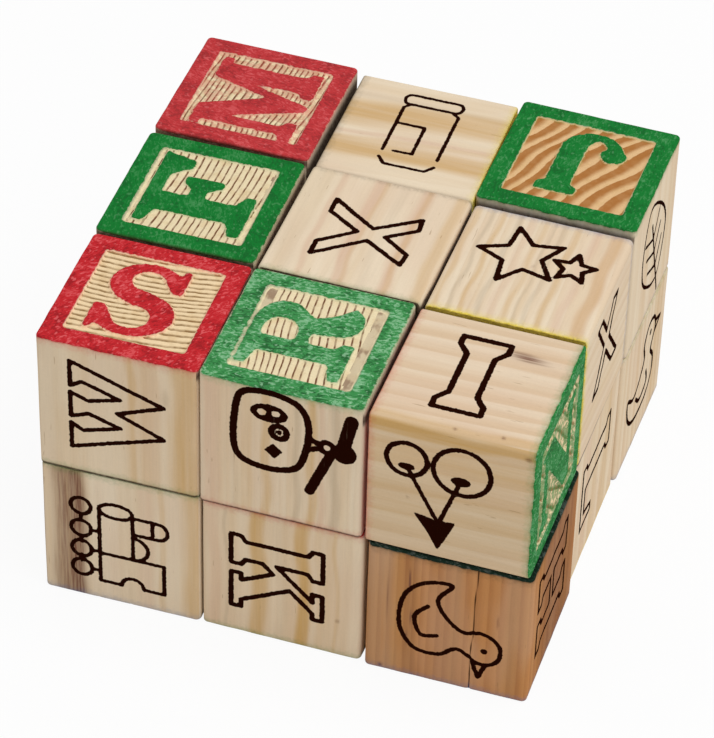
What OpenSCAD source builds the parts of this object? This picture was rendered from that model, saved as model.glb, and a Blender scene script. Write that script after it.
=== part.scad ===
// Set of eighteen wooden alphabet blocks, stacked three by three and two high.
// Each block is one solid cube of pine. Its two end-grain faces carry a letter
// and a frame in relief, and its four other faces are flat.
// The origin is the middle of the underside of the middle bottom block, +Z up,
// and -Y is the front of the stack.

/* [Block] */
// Edge length of a block
block_edge = 30; // [20:0.5:45]
// Radius of the four edges that run with the grain
long_round = 1; // [0.4:0.1:3]
// Bevel round the two end-grain faces
end_bevel = 0.4; // [0.1:0.05:1]

/* [Carved ends] */
// Width of the raised frame round a carved end
frame_w = 3.7; // [2:0.1:6]
// Depth of the ground that is cut away round the letter
ground_depth = 0.5; // [0.3:0.1:2.5]
// Space between the frame and the top and foot of the letter
letter_margin = 1.8; // [0.6:0.1:3]

/* [Stack] */
// Looseness of the stack: how much places, turns and sizes differ from block to block
play = 0.35; // [0.1:0.05:0.6]
// Clearance between the bottom layer and the top layer
layer_gap = 0.04; // [0.02:0.01:0.2]

/* [Hidden] */

// Colours of pale pine and of reddish heartwood
pine = [0.88, 0.77, 0.6];
heartwood = [0.74, 0.52, 0.36];

// Faces on a full circle of the rounded edges
$fn = 64;
// Overrun of a cut past the face that it opens
overrun = end_bevel;
// Distance from one block's centre to the next
pitch = block_edge + play;
// Height of a letter, which stands within the frame
letter_h = block_edge - 2 * frame_w - 2 * letter_margin;

// Proportions of the letters, as shares of their height
slab_share = 0.11;
hair_share = 0.115;
serif_share = 0.08;
bracket_share = 0.05;
// Degrees between the points of a curve
curve_step = 10;

// The letters

// Right and left halves of a foot or a head serif on a stem edge at x.
// Outlines run counter-clockwise, with the foot at 0 and the top at 1.
function foot_r_share(x) =
    [[x + serif_share, 0], [x + serif_share, slab_share], [x, slab_share + bracket_share]];
function foot_l_share(x) =
    [[x, slab_share + bracket_share], [x - serif_share, slab_share], [x - serif_share, 0]];
function head_r_share(x) =
    [[x, 1 - slab_share - bracket_share], [x + serif_share, 1 - slab_share], [x + serif_share, 1]];
function head_l_share(x) =
    [[x - serif_share, 1], [x - serif_share, 1 - slab_share], [x, 1 - slab_share - bracket_share]];

// Both serifs at the left of a stem, from its head down to its foot
function stem_l_share(x) = concat(head_l_share(x), foot_l_share(x));

// Points of an ellipse from angle a to angle b, either way round
function curve_share(centre, radii, a, b) =
    let (steps = ceil(abs(b - a) / curve_step))
    [for (i = [0:steps]) let (t = a + (b - a) * i / steps)
        [centre.x + radii.x * cos(t), centre.y + radii.y * sin(t)]];

// Space inside a bowl that starts at x and reaches from y0 to y1
function bowl_hole_share(x, reach, y0, y1) =
    let (half = (y1 - y0) / 2, lean = min(half, reach - x))
    concat([[x, y0]], curve_share([reach - lean, y0 + half], [lean, half], -90, 90), [[x, y1]]);

// Outer outline of each letter
function outline_share(c) =
    let (f = slab_share, h = hair_share, g = 1 - slab_share, k = 1 - hair_share)
    c == "A" ? [[-.5, 0], [-.17, 0], [-.17, f], [-.26, f], [-.2, .27], [.09, .27], [.15, f], [.04, f],
        [.04, 0], [.52, 0], [.52, f], [.42, f], [.11, 1], [-.08, 1], [-.39, f], [-.5, f]] :
    c == "B" ? concat([[-.38, 0]], curve_share([.08, .265], [.32, .265], -90, 70),
        curve_share([.06, .755], [.29, .245], -65, 90), stem_l_share(-.38)) :
    c == "C" ? concat(curve_share([0, .5], [.43, .5], 47, 318), curve_share([.03, .5], [.2, .385], 315, 45),
        [[.3, .64], [.41, .64], [.41, .97], [.31, .97]]) :
    c == "D" ? concat([[-.42, 0]], curve_share([-.02, .5], [.44, .5], -90, 90), stem_l_share(-.42)) :
    c == "E" ? concat([[.42, 0], [.42, .33], [.33, .33], [.26, h], [-.11, h], [-.11, .445], [.08, .445],
        [.1, .36], [.17, .36], [.17, .65], [.1, .65], [.08, .555], [-.11, .555], [-.11, k], [.22, k],
        [.29, .68], [.38, .68], [.38, 1]], stem_l_share(-.36)) :
    c == "F" ? [[-.44, 0], [.14, 0], [.14, f], [0, .17], [0, .46], [.1, .46], [.17, .34], [.27, .34],
        [.27, .71], [.17, .71], [.1, .62], [0, .62], [0, .86], [.24, .86], [.33, .76], [.37, .69],
        [.5, .69], [.56, 1], [-.46, 1], [-.46, g], [-.27, .84], [-.27, .17], [-.44, f]] :
    c == "G" ? concat(curve_share([0, .5], [.43, .5], 47, 310), [[.32, .03], [.42, .03], [.42, .35],
        [.5, .35], [.5, .46], [.06, .46], [.06, .35], [.17, .35], [.17, .2]],
        curve_share([.03, .5], [.2, .385], 305, 45), [[.3, .64], [.41, .64], [.41, .97], [.31, .97]]) :
    c == "H" ? concat(foot_r_share(-.18), [[-.18, .44], [.18, .44]], foot_l_share(.18), foot_r_share(.42),
        head_r_share(.42), head_l_share(.18), [[.18, .56], [-.18, .56]], head_r_share(-.18),
        stem_l_share(-.42)) :
    c == "I" ? concat(foot_r_share(.14), head_r_share(.14), stem_l_share(-.14)) :
    c == "J" ? concat(curve_share([-.06, .3], [.31, .3], 200, 360), head_r_share(.25), head_l_share(0),
        curve_share([-.1, .3], [.1, .185], 0, -150), curve_share([-.27, .28], [.13, .13], -15, 200)) :
    c == "K" ? concat(foot_r_share(-.17), [[-.17, .34], [-.05, .46], [.14, f], [.04, f], [.04, 0], [.52, 0],
        [.52, f], [.42, f], [.13, .64], [.38, g], [.46, g], [.46, 1], [.1, 1], [.1, g], [.22, g],
        [-.17, .5]], head_r_share(-.17), stem_l_share(-.42)) :
    c == "L" ? concat([[.4, 0], [.4, .38], [.31, .38], [.24, h], [-.09, h]], head_r_share(-.09),
        stem_l_share(-.34)) :
    c == "M" ? concat(foot_r_share(-.33), [[-.33, .66], [-.06, 0], [.03, 0], [.2, .62]],
        foot_l_share(.2), foot_r_share(.45), [[.45, g], [.53, g], [.53, 1], [.21, 1], [.04, .42],
        [-.24, 1], [-.53, 1], [-.53, g], [-.46, g]], foot_l_share(-.46)) :
    c == "N" ? concat(foot_r_share(-.33), [[-.33, .7], [.24, 0], [.43, 0], [.43, g], [.51, g], [.51, 1],
        [.22, 1], [.22, g], [.3, g], [.3, .36], [-.2, 1], [-.53, 1], [-.53, g], [-.46, g]],
        foot_l_share(-.46)) :
    c == "O" ? curve_share([0, .5], [.44, .5], 0, 360 - curve_step) :
    c == "P" ? concat(foot_r_share(-.13), [[-.13, .42]], curve_share([.06, .71], [.33, .29], -90, 90),
        stem_l_share(-.38)) :
    c == "Q" ? concat(curve_share([0, .5], [.44, .5], -36, 297), [[.32, .01], [.48, .13]]) :
    c == "R" ? concat([[-.49, 0], [.04, 0], [.04, f], [-.05, .17], [-.05, .43], [.08, .43]],
        curve_share([.33, .2], [.22, .19], 180, 345), [[.42, .26], [.3, .45]],
        curve_share([.14, .74], [.32, .26], -50, 90), [[-.49, 1], [-.49, g], [-.28, .84],
        [-.28, .17], [-.49, f]]) :
    c == "S" ? concat(curve_share([0, .71], [.34, .29], 42, 235),
        curve_share([0, .26], [.17, .15], 100, -140), [[-.27, .36], [-.37, .36], [-.37, .01], [-.3, .01]],
        curve_share([0, .31], [.38, .31], 222, 415), curve_share([0, .76], [.15, .13], -80, -315),
        [[.24, .66], [.34, .66], [.34, .99], [.27, .99]]) :
    c == "T" ? concat(foot_r_share(.125), [[.125, k], [.28, k], [.35, .66], [.44, .66], [.44, 1], [-.44, 1],
        [-.44, .66], [-.35, .66], [-.28, k], [-.125, k]], foot_l_share(-.125)) :
    c == "U" ? concat(curve_share([-.015, .36], [.405, .36], 180, 360), head_r_share(.39),
        head_l_share(.26), curve_share([.045, .34], [.215, .225], 360, 180), head_r_share(-.17),
        head_l_share(-.42)) :
    c == "V" ? [[-.06, 0], [.08, 0], [.4, g], [.48, g], [.48, 1], [.16, 1], [.16, g], [.27, g], [.06, .3],
        [-.14, g], [-.06, g], [-.06, 1], [-.5, 1], [-.5, g], [-.42, g]] :
    c == "W" ? [[-.31, 0], [-.17, 0], [0, .52], [.17, 0], [.31, 0], [.46, g], [.54, g], [.54, 1], [.26, 1],
        [.26, g], [.34, g], [.22, .38], [.09, 1], [-.09, 1], [-.17, .52], [-.24, g], [-.16, g],
        [-.16, 1], [-.55, 1], [-.55, g], [-.47, g]] :
    c == "X" ? [[-.48, 0], [-.12, 0], [-.12, f], [-.24, f], [-.04, .36], [.14, f], [.06, f], [.06, 0],
        [.52, 0], [.52, f], [.43, f], [.11, .55], [.38, g], [.46, g], [.46, 1], [.13, 1], [.13, g],
        [.24, g], [.04, .64], [-.14, g], [-.06, g], [-.06, 1], [-.52, 1], [-.52, g], [-.43, g],
        [-.11, .45], [-.38, f], [-.48, f]] :
    c == "Y" ? concat(foot_r_share(.125), [[.125, .42], [.38, g], [.46, g], [.46, 1], [.13, 1], [.13, g],
        [.22, g], [.03, .58], [-.15, g], [-.07, g], [-.07, 1], [-.52, 1], [-.52, g], [-.44, g],
        [-.125, .4]], foot_l_share(-.125)) :
    [[-.42, 0], [.42, 0], [.42, .36], [.33, .36], [.26, h], [-.12, h], [.4, .96], [.4, 1], [-.38, 1],
        [-.38, .68], [-.29, .68], [-.22, k], [.12, k], [-.42, .05]];

// Spaces inside the letters that have any
function holes_share(c) =
    let (h = hair_share, k = 1 - hair_share)
    c == "A" ? [[[-.16, .38], [.05, .38], [-.055, .68]]] :
    c == "B" ? [bowl_hole_share(-.13, .17, h, .43), bowl_hole_share(-.13, .13, .545, k)] :
    c == "D" ? [bowl_hole_share(-.17, .17, h, k)] :
    c == "O" ? [curve_share([0, .5], [.2, .385], 0, 360 - curve_step)] :
    c == "P" ? [bowl_hole_share(-.13, .15, .535, k)] :
    c == "Q" ? [curve_share([0, .5], [.2, .385], 0, 360 - curve_step)] :
    c == "R" ? [bowl_hole_share(-.05, .22, .56, k)] :
    [];

// A letter as a flat shape. Its fit is given in letter margins: how much further it reaches
// at its head and at its foot, and how far it stands to its right and up from the centre.
module letter(c, fit_share) {
    h = letter_h + 2 * letter_margin * fit_share[0];
    translate([letter_margin * fit_share[1], letter_margin * fit_share[2] - h / 2])
        scale(h)
            difference() {
                polygon(outline_share(c));
                for (hole = holes_share(c)) polygon(hole);
            }
}

// A block

// Rectangle with a square cut off each corner, or with round corners
module bevelled(w, l) {
    hw = w / 2;
    hl = l / 2;
    polygon([
        [hw - end_bevel, -hl], [hw, end_bevel - hl], [hw, hl - end_bevel], [hw - end_bevel, hl],
        [end_bevel - hw, hl], [-hw, hl - end_bevel], [-hw, end_bevel - hl], [end_bevel - hw, -hl]
    ]);
}

module rounded(w, d) {
    square([w - 2 * long_round, d], center = true);
    square([w, d - 2 * long_round], center = true);
    for (x = [-1, 1], y = [-1, 1])
        translate([x * (w / 2 - long_round), y * (d / 2 - long_round)])
            circle(r = long_round);
}

// Plain cube with its grain along Z: round along the grain, bevelled at the ends
module plain_cube(w, d, l) {
    intersection() {
        linear_extrude(height = l, center = true) rounded(w, d);
        rotate([90, 0, 0]) linear_extrude(height = d, center = true) bevelled(w, l);
        rotate([90, 0, 90]) linear_extrude(height = w, center = true) bevelled(d, l);
    }
}

// What is cut away on an end face at z = 0: the panel inside the frame, less the letter
module ground(w, d, c, turn, fit_share = [0, 0, 0]) {
    translate([0, 0, -ground_depth])
        linear_extrude(height = ground_depth + overrun)
            difference() {
                square([w - 2 * frame_w, d - 2 * frame_w], center = true);
                rotate(turn) letter(c, fit_share);
            }
}

// Block with its grain along Z and one letter on each end, the upper one first
module carved_cube(w, d, l, letters, turns, fit_share) {
    difference() {
        plain_cube(w, d, l);
        translate([0, 0, l / 2]) ground(w, d, letters[0], turns[0], fit_share);
        rotate([0, 180, 0]) translate([0, 0, l / 2]) ground(w, d, letters[1], turns[1]);
    }
}

// A block in its place. The column runs from left to right, the row from front to back
// and the layer upwards. The shares say by how many times the play the block's width
// and height, its place and its corners differ from those of an ideal stack, and how its
// first letter fits in its panel.
module block(column, row, layer, grain, letters, turns = [0, 0],
             size_share = [0, 0], jog_share = [0, 0], swing_share = 0,
             fit_share = [0, 0, 0]) {
    side = block_edge + play * size_share[0];
    rise = block_edge + play * size_share[1];
    translate([
        pitch * (column - 1) + play * jog_share.x,
        pitch * (row - 1) + play * jog_share.y,
        layer * (block_edge + layer_gap) + rise / 2
    ])
        rotate(atan(2 * play * swing_share / block_edge)) {
            if (grain == "z") carved_cube(side, side, rise, letters, turns, fit_share);
            if (grain == "x") rotate([90, 0, 90]) carved_cube(side, rise, side, letters, turns, fit_share);
            if (grain == "y") rotate([90, 0, 180]) carved_cube(side, rise, side, letters, turns, fit_share);
        }
}

// The top layer, front row first

module block_s() {
    color(pine)
        block(0, 0, 1, "z", ["S", "T"],
              size_share = [-0.9, -1.2], jog_share = [-0.2, -0.2], swing_share = 0.5,
              fit_share = [0.2, -0.55, 0]);
}

module block_r() {
    color(pine)
        block(1, 0, 1, "z", ["R", "U"], [90, 0],
              size_share = [-0.7, -0.4], jog_share = [-1.1, -0.3], swing_share = 0.1,
              fit_share = [0, -0.3, 0.6]);
}

module block_cherries() {
    color(pine)
        block(2, 0, 1, "x", ["N", "C"],
              size_share = [-0.7, -1], jog_share = [-0.2, -1.1], swing_share = -0.25);
}

module block_f() {
    color(pine)
        block(0, 1, 1, "z", ["F", "G"], [90, 90],
              size_share = [-0.5, -0.2], jog_share = [-1.6, -0.2], swing_share = 0.6,
              fit_share = [0.3, -0.4, 0]);
}

module block_x() {
    color(pine)
        block(1, 1, 1, "y", ["Y", "A"],
              size_share = [0.5, 0.2], jog_share = [0.4, -0.7], swing_share = -0.35);
}

module block_star() {
    color(pine)
        block(2, 1, 1, "y", ["L", "Q"],
              size_share = [-1.1, -1.5], jog_share = [0.6, -0.6], swing_share = -0.35);
}

module block_m() {
    color(pine)
        block(0, 2, 1, "z", ["M", "D"], [90, 0],
              size_share = [-0.6, 0.2], jog_share = [-1.8, 0.9], swing_share = -0.1,
              fit_share = [0.2, -0.2, 0]);
}

module block_jar() {
    color(pine)
        block(1, 2, 1, "x", ["V", "B"],
              size_share = [-0.3, -1], jog_share = [0.8, -0.7], swing_share = 0.2);
}

module block_j() {
    color(pine)
        block(2, 2, 1, "z", ["J", "K"], [180, 0],
              size_share = [0.3, 0.7], jog_share = [1, 1.8], swing_share = -0.75,
              fit_share = [0, 0, -0.3]);
}

// The bottom layer, front row first. All its blocks are equally high.

module block_train() {
    color(pine)
        block(0, 0, 0, "z", ["H", "I"],
              size_share = [-1, 0], jog_share = [0.2, -0.45], swing_share = 0.6);
}

module block_k() {
    color(pine)
        block(1, 0, 0, "z", ["O", "E"],
              size_share = [-0.2, 0], jog_share = [0.25, 0.85], swing_share = -0.05);
}

module block_bird() {
    color(heartwood)
        block(2, 0, 0, "z", ["W", "A"],
              jog_share = [1.3, -0.4], swing_share = 0.2);
}

module block_low_left() {
    color(pine)
        block(0, 1, 0, "x", ["P", "Z"],
              size_share = [-0.3, 0], jog_share = [-0.3, 0], swing_share = 0.2);
}

module block_low_middle() {
    color(pine)
        block(1, 1, 0, "x", ["X", "S"], size_share = [-0.2, 0]);
}

module block_low_right() {
    color(pine)
        block(2, 1, 0, "z", ["Y", "M"],
              size_share = [-0.2, 0], jog_share = [-0.8, 0.7], swing_share = -0.15);
}

module block_low_back_left() {
    color(pine)
        block(0, 2, 0, "y", ["R", "N"],
              jog_share = [-0.2, 0.1], swing_share = -0.2);
}

module block_low_back() {
    color(pine)
        block(1, 2, 0, "z", ["F", "T"],
              size_share = [-0.3, 0], jog_share = [0.1, 0.2], swing_share = 0.1);
}

module block_low_back_right() {
    color(pine)
        block(2, 2, 0, "z", ["J", "H"],
              size_share = [-0.9, 0], jog_share = [2.2, 0.6], swing_share = -0.75);
}

block_s();
block_r();
block_cherries();
block_f();
block_x();
block_star();
block_m();
block_jar();
block_j();
block_train();
block_k();
block_bird();
block_low_left();
block_low_middle();
block_low_right();
block_low_back_left();
block_low_back();
block_low_back_right();
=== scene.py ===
"""Looks of a stack of eighteen wooden alphabet blocks, three by three and two high.

Each block is one closed mesh in the place of its solid. Lengths in the code are millimetres,
in the block's own directions: a and b across the grain, and c along it.
"""
import math

import bpy
import numpy as np
from mathutils import Matrix, Vector


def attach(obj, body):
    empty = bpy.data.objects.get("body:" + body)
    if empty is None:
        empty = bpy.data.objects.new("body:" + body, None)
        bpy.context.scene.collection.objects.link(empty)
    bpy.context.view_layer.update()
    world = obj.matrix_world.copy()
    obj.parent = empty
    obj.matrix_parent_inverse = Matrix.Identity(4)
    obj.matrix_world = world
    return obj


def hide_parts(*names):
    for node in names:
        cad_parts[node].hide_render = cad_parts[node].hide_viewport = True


bl_info = {
    "name": "Alphabet Blocks",
    "version": (1, 0, 0),
    "blender": (4, 5, 0),
    "location": "View3D > Sidebar > Alphabet Blocks",
    "description": "Wooden alphabet blocks with carved ends and printed sides",
    "category": "Add Mesh",
}

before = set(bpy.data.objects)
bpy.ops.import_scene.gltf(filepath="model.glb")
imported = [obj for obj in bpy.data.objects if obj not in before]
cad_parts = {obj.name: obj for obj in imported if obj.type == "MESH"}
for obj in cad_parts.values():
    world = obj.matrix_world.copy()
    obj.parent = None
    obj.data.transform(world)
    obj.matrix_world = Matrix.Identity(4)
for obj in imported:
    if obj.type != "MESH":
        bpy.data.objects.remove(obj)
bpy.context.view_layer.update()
MM = 0.001
# A distance in millimetres that counts as far away
FAR = 9.0


def srgb(code):
    """Linear colour of a six-digit code such as c83232."""
    values = np.array([int(code[i:i + 2], 16) for i in (0, 2, 4)]) / 255
    linear = np.where(values <= 0.04045, values / 12.92, ((values + 0.055) / 1.055) ** 2.4)
    return tuple(linear.tolist())


# The timber, paint and prints of the blocks

# How many sine waves make a noise, and how high their sum reaches before it is brought to 1
WAVE_COUNT = 14
WAVE_PEAK = 1.6
# In edges: how far a stripe's middle wanders, and over what length
WANDER = 0.012
WANDER_LENGTH = 0.6
# In edges: half the width of a tint over a whole side, and a length that spans any side
ALL_OVER = 0.6
WIDE = 1.2


def waves(points, length, seed):
    """Smooth noise from -1 to 1 or so: the mean of sine waves in seeded directions, of
    about the given length."""
    draw = np.random.default_rng(seed)
    ways = draw.normal(size=(points.shape[1], WAVE_COUNT))
    ways /= np.linalg.norm(ways, axis=0) * length * draw.uniform(0.6, 1.7, WAVE_COUNT) / (2 * math.pi)
    starts = draw.uniform(0, 2 * math.pi, WAVE_COUNT)
    return np.sin(points @ ways + starts).sum(1) * math.sqrt(2 / WAVE_COUNT) / WAVE_PEAK


class Band:
    """A soft stripe of the timber along the grain of one side, in shares of the edge. Its middle
    lies at a share across the grain, and moves by the slope for every share along it."""

    def __init__(self, at, half, tint, strength, slope=0.0):
        self.at, self.half, self.tint = at, half, tint
        self.strength, self.slope = strength, slope

    def off(self, across, along, seed):
        """Distance from the stripe's wandering middle."""
        wander = WANDER * waves(along[:, None], WANDER_LENGTH, seed)
        return across - self.at - self.slope * along - wander

    def cover(self, across, along, seed):
        """1 at the middle, and next to nothing past the half width."""
        return self.strength * np.exp(-(self.off(across, along, seed) / self.half) ** 4)


class Smudge(Band):
    """A soft spot, with a place and a half length along the grain too."""

    def __init__(self, at, half, tint, strength, along, reach):
        super().__init__(at, half, tint, strength)
        self.along, self.reach = along, reach

    def cover(self, across, along, seed):
        """1 at the middle, and next to nothing past the half width and the half length."""
        far = ((across - self.at) / self.half) ** 2 + ((along - self.along) / self.reach) ** 2
        return self.strength * np.exp(-far**1.5)


def all_over(tint, strength):
    """A tint over a whole side, a little weaker towards its edges."""
    return Band(0.0, ALL_OVER, tint, strength)


def split(at, strength, slope=0.0):
    """A split in the timber, which is a line without a width of its own."""
    return Band(at, 0.0, "split", strength, slope)


def gap_shade(depth=0.09, reach=0.05, strength=1.0):
    """Painted shade in the gap to a neighbour: a dark tint at a depth below the upper edge of an upright
    side.
    """
    return Smudge(0.0, WIDE, "dirt", strength, 0.5 - depth, reach)


class Print:
    """A picture or a letter's outline on a side, turned by degrees, with a shift and a size in
    shares of the edge, and the weight of its lines."""

    def __init__(self, name, turn=0, shift=(0, 0), size=1.0, weight=1.0):
        self.name, self.turn, self.shift, self.size = name, turn, shift, size
        self.weight = weight


class Block:
    """One block's letters, paints, prints and piece of timber.

    The prints are named by their side, and so are the bands, which are its stripes, smudges,
    splits and painted shade in the gaps to its neighbours. The heart of the tree is given from the
    middle of the block, in edges along a and b, and so is its lean per edge of length. A ring is
    given in millimetres, and late says where in a ring its dark line begins and is full. Calm is
    the width, in millimetres, of the cut ground beside the letter that has no ridges. Speckle and
    roll are for the paint on the two ends: how worn it looks, and the share of the paint roll by
    which it runs over the edges. Wear is how much paint has spread over the ground of the first
    end, arched edges have paint that runs further over their middle, and the last pair says how
    dark the two ends are painted round their rims, which is painted shade in the gaps there."""

    def __init__(self, grain, letters, paints, prints, heart, ring, turns=(0, 0), lean=(0, 0),
                 bands=None, timber="pine", contrast=0.3, cut="cut", furrow="furrow",
                 late=(0.6, 0.85), calm=0.0, speckle=(0.35, 0.35), wear=0.0, roll=(1.0, 0.3),
                 arched=(), rim_shade=(0, 0)):
        self.grain, self.letters, self.paints, self.prints = grain, letters, paints, prints
        self.heart, self.ring, self.turns, self.lean = heart, ring, turns, lean
        self.bands = [(side, band) for side, some in (bands or {}).items() for band in some]
        self.timber, self.contrast = timber, contrast
        self.cut, self.furrow, self.late, self.calm = cut, furrow, late, calm
        self.speckle, self.wear, self.roll, self.arched = speckle, wear, roll, arched
        self.rim_shade = rim_shade


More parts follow.
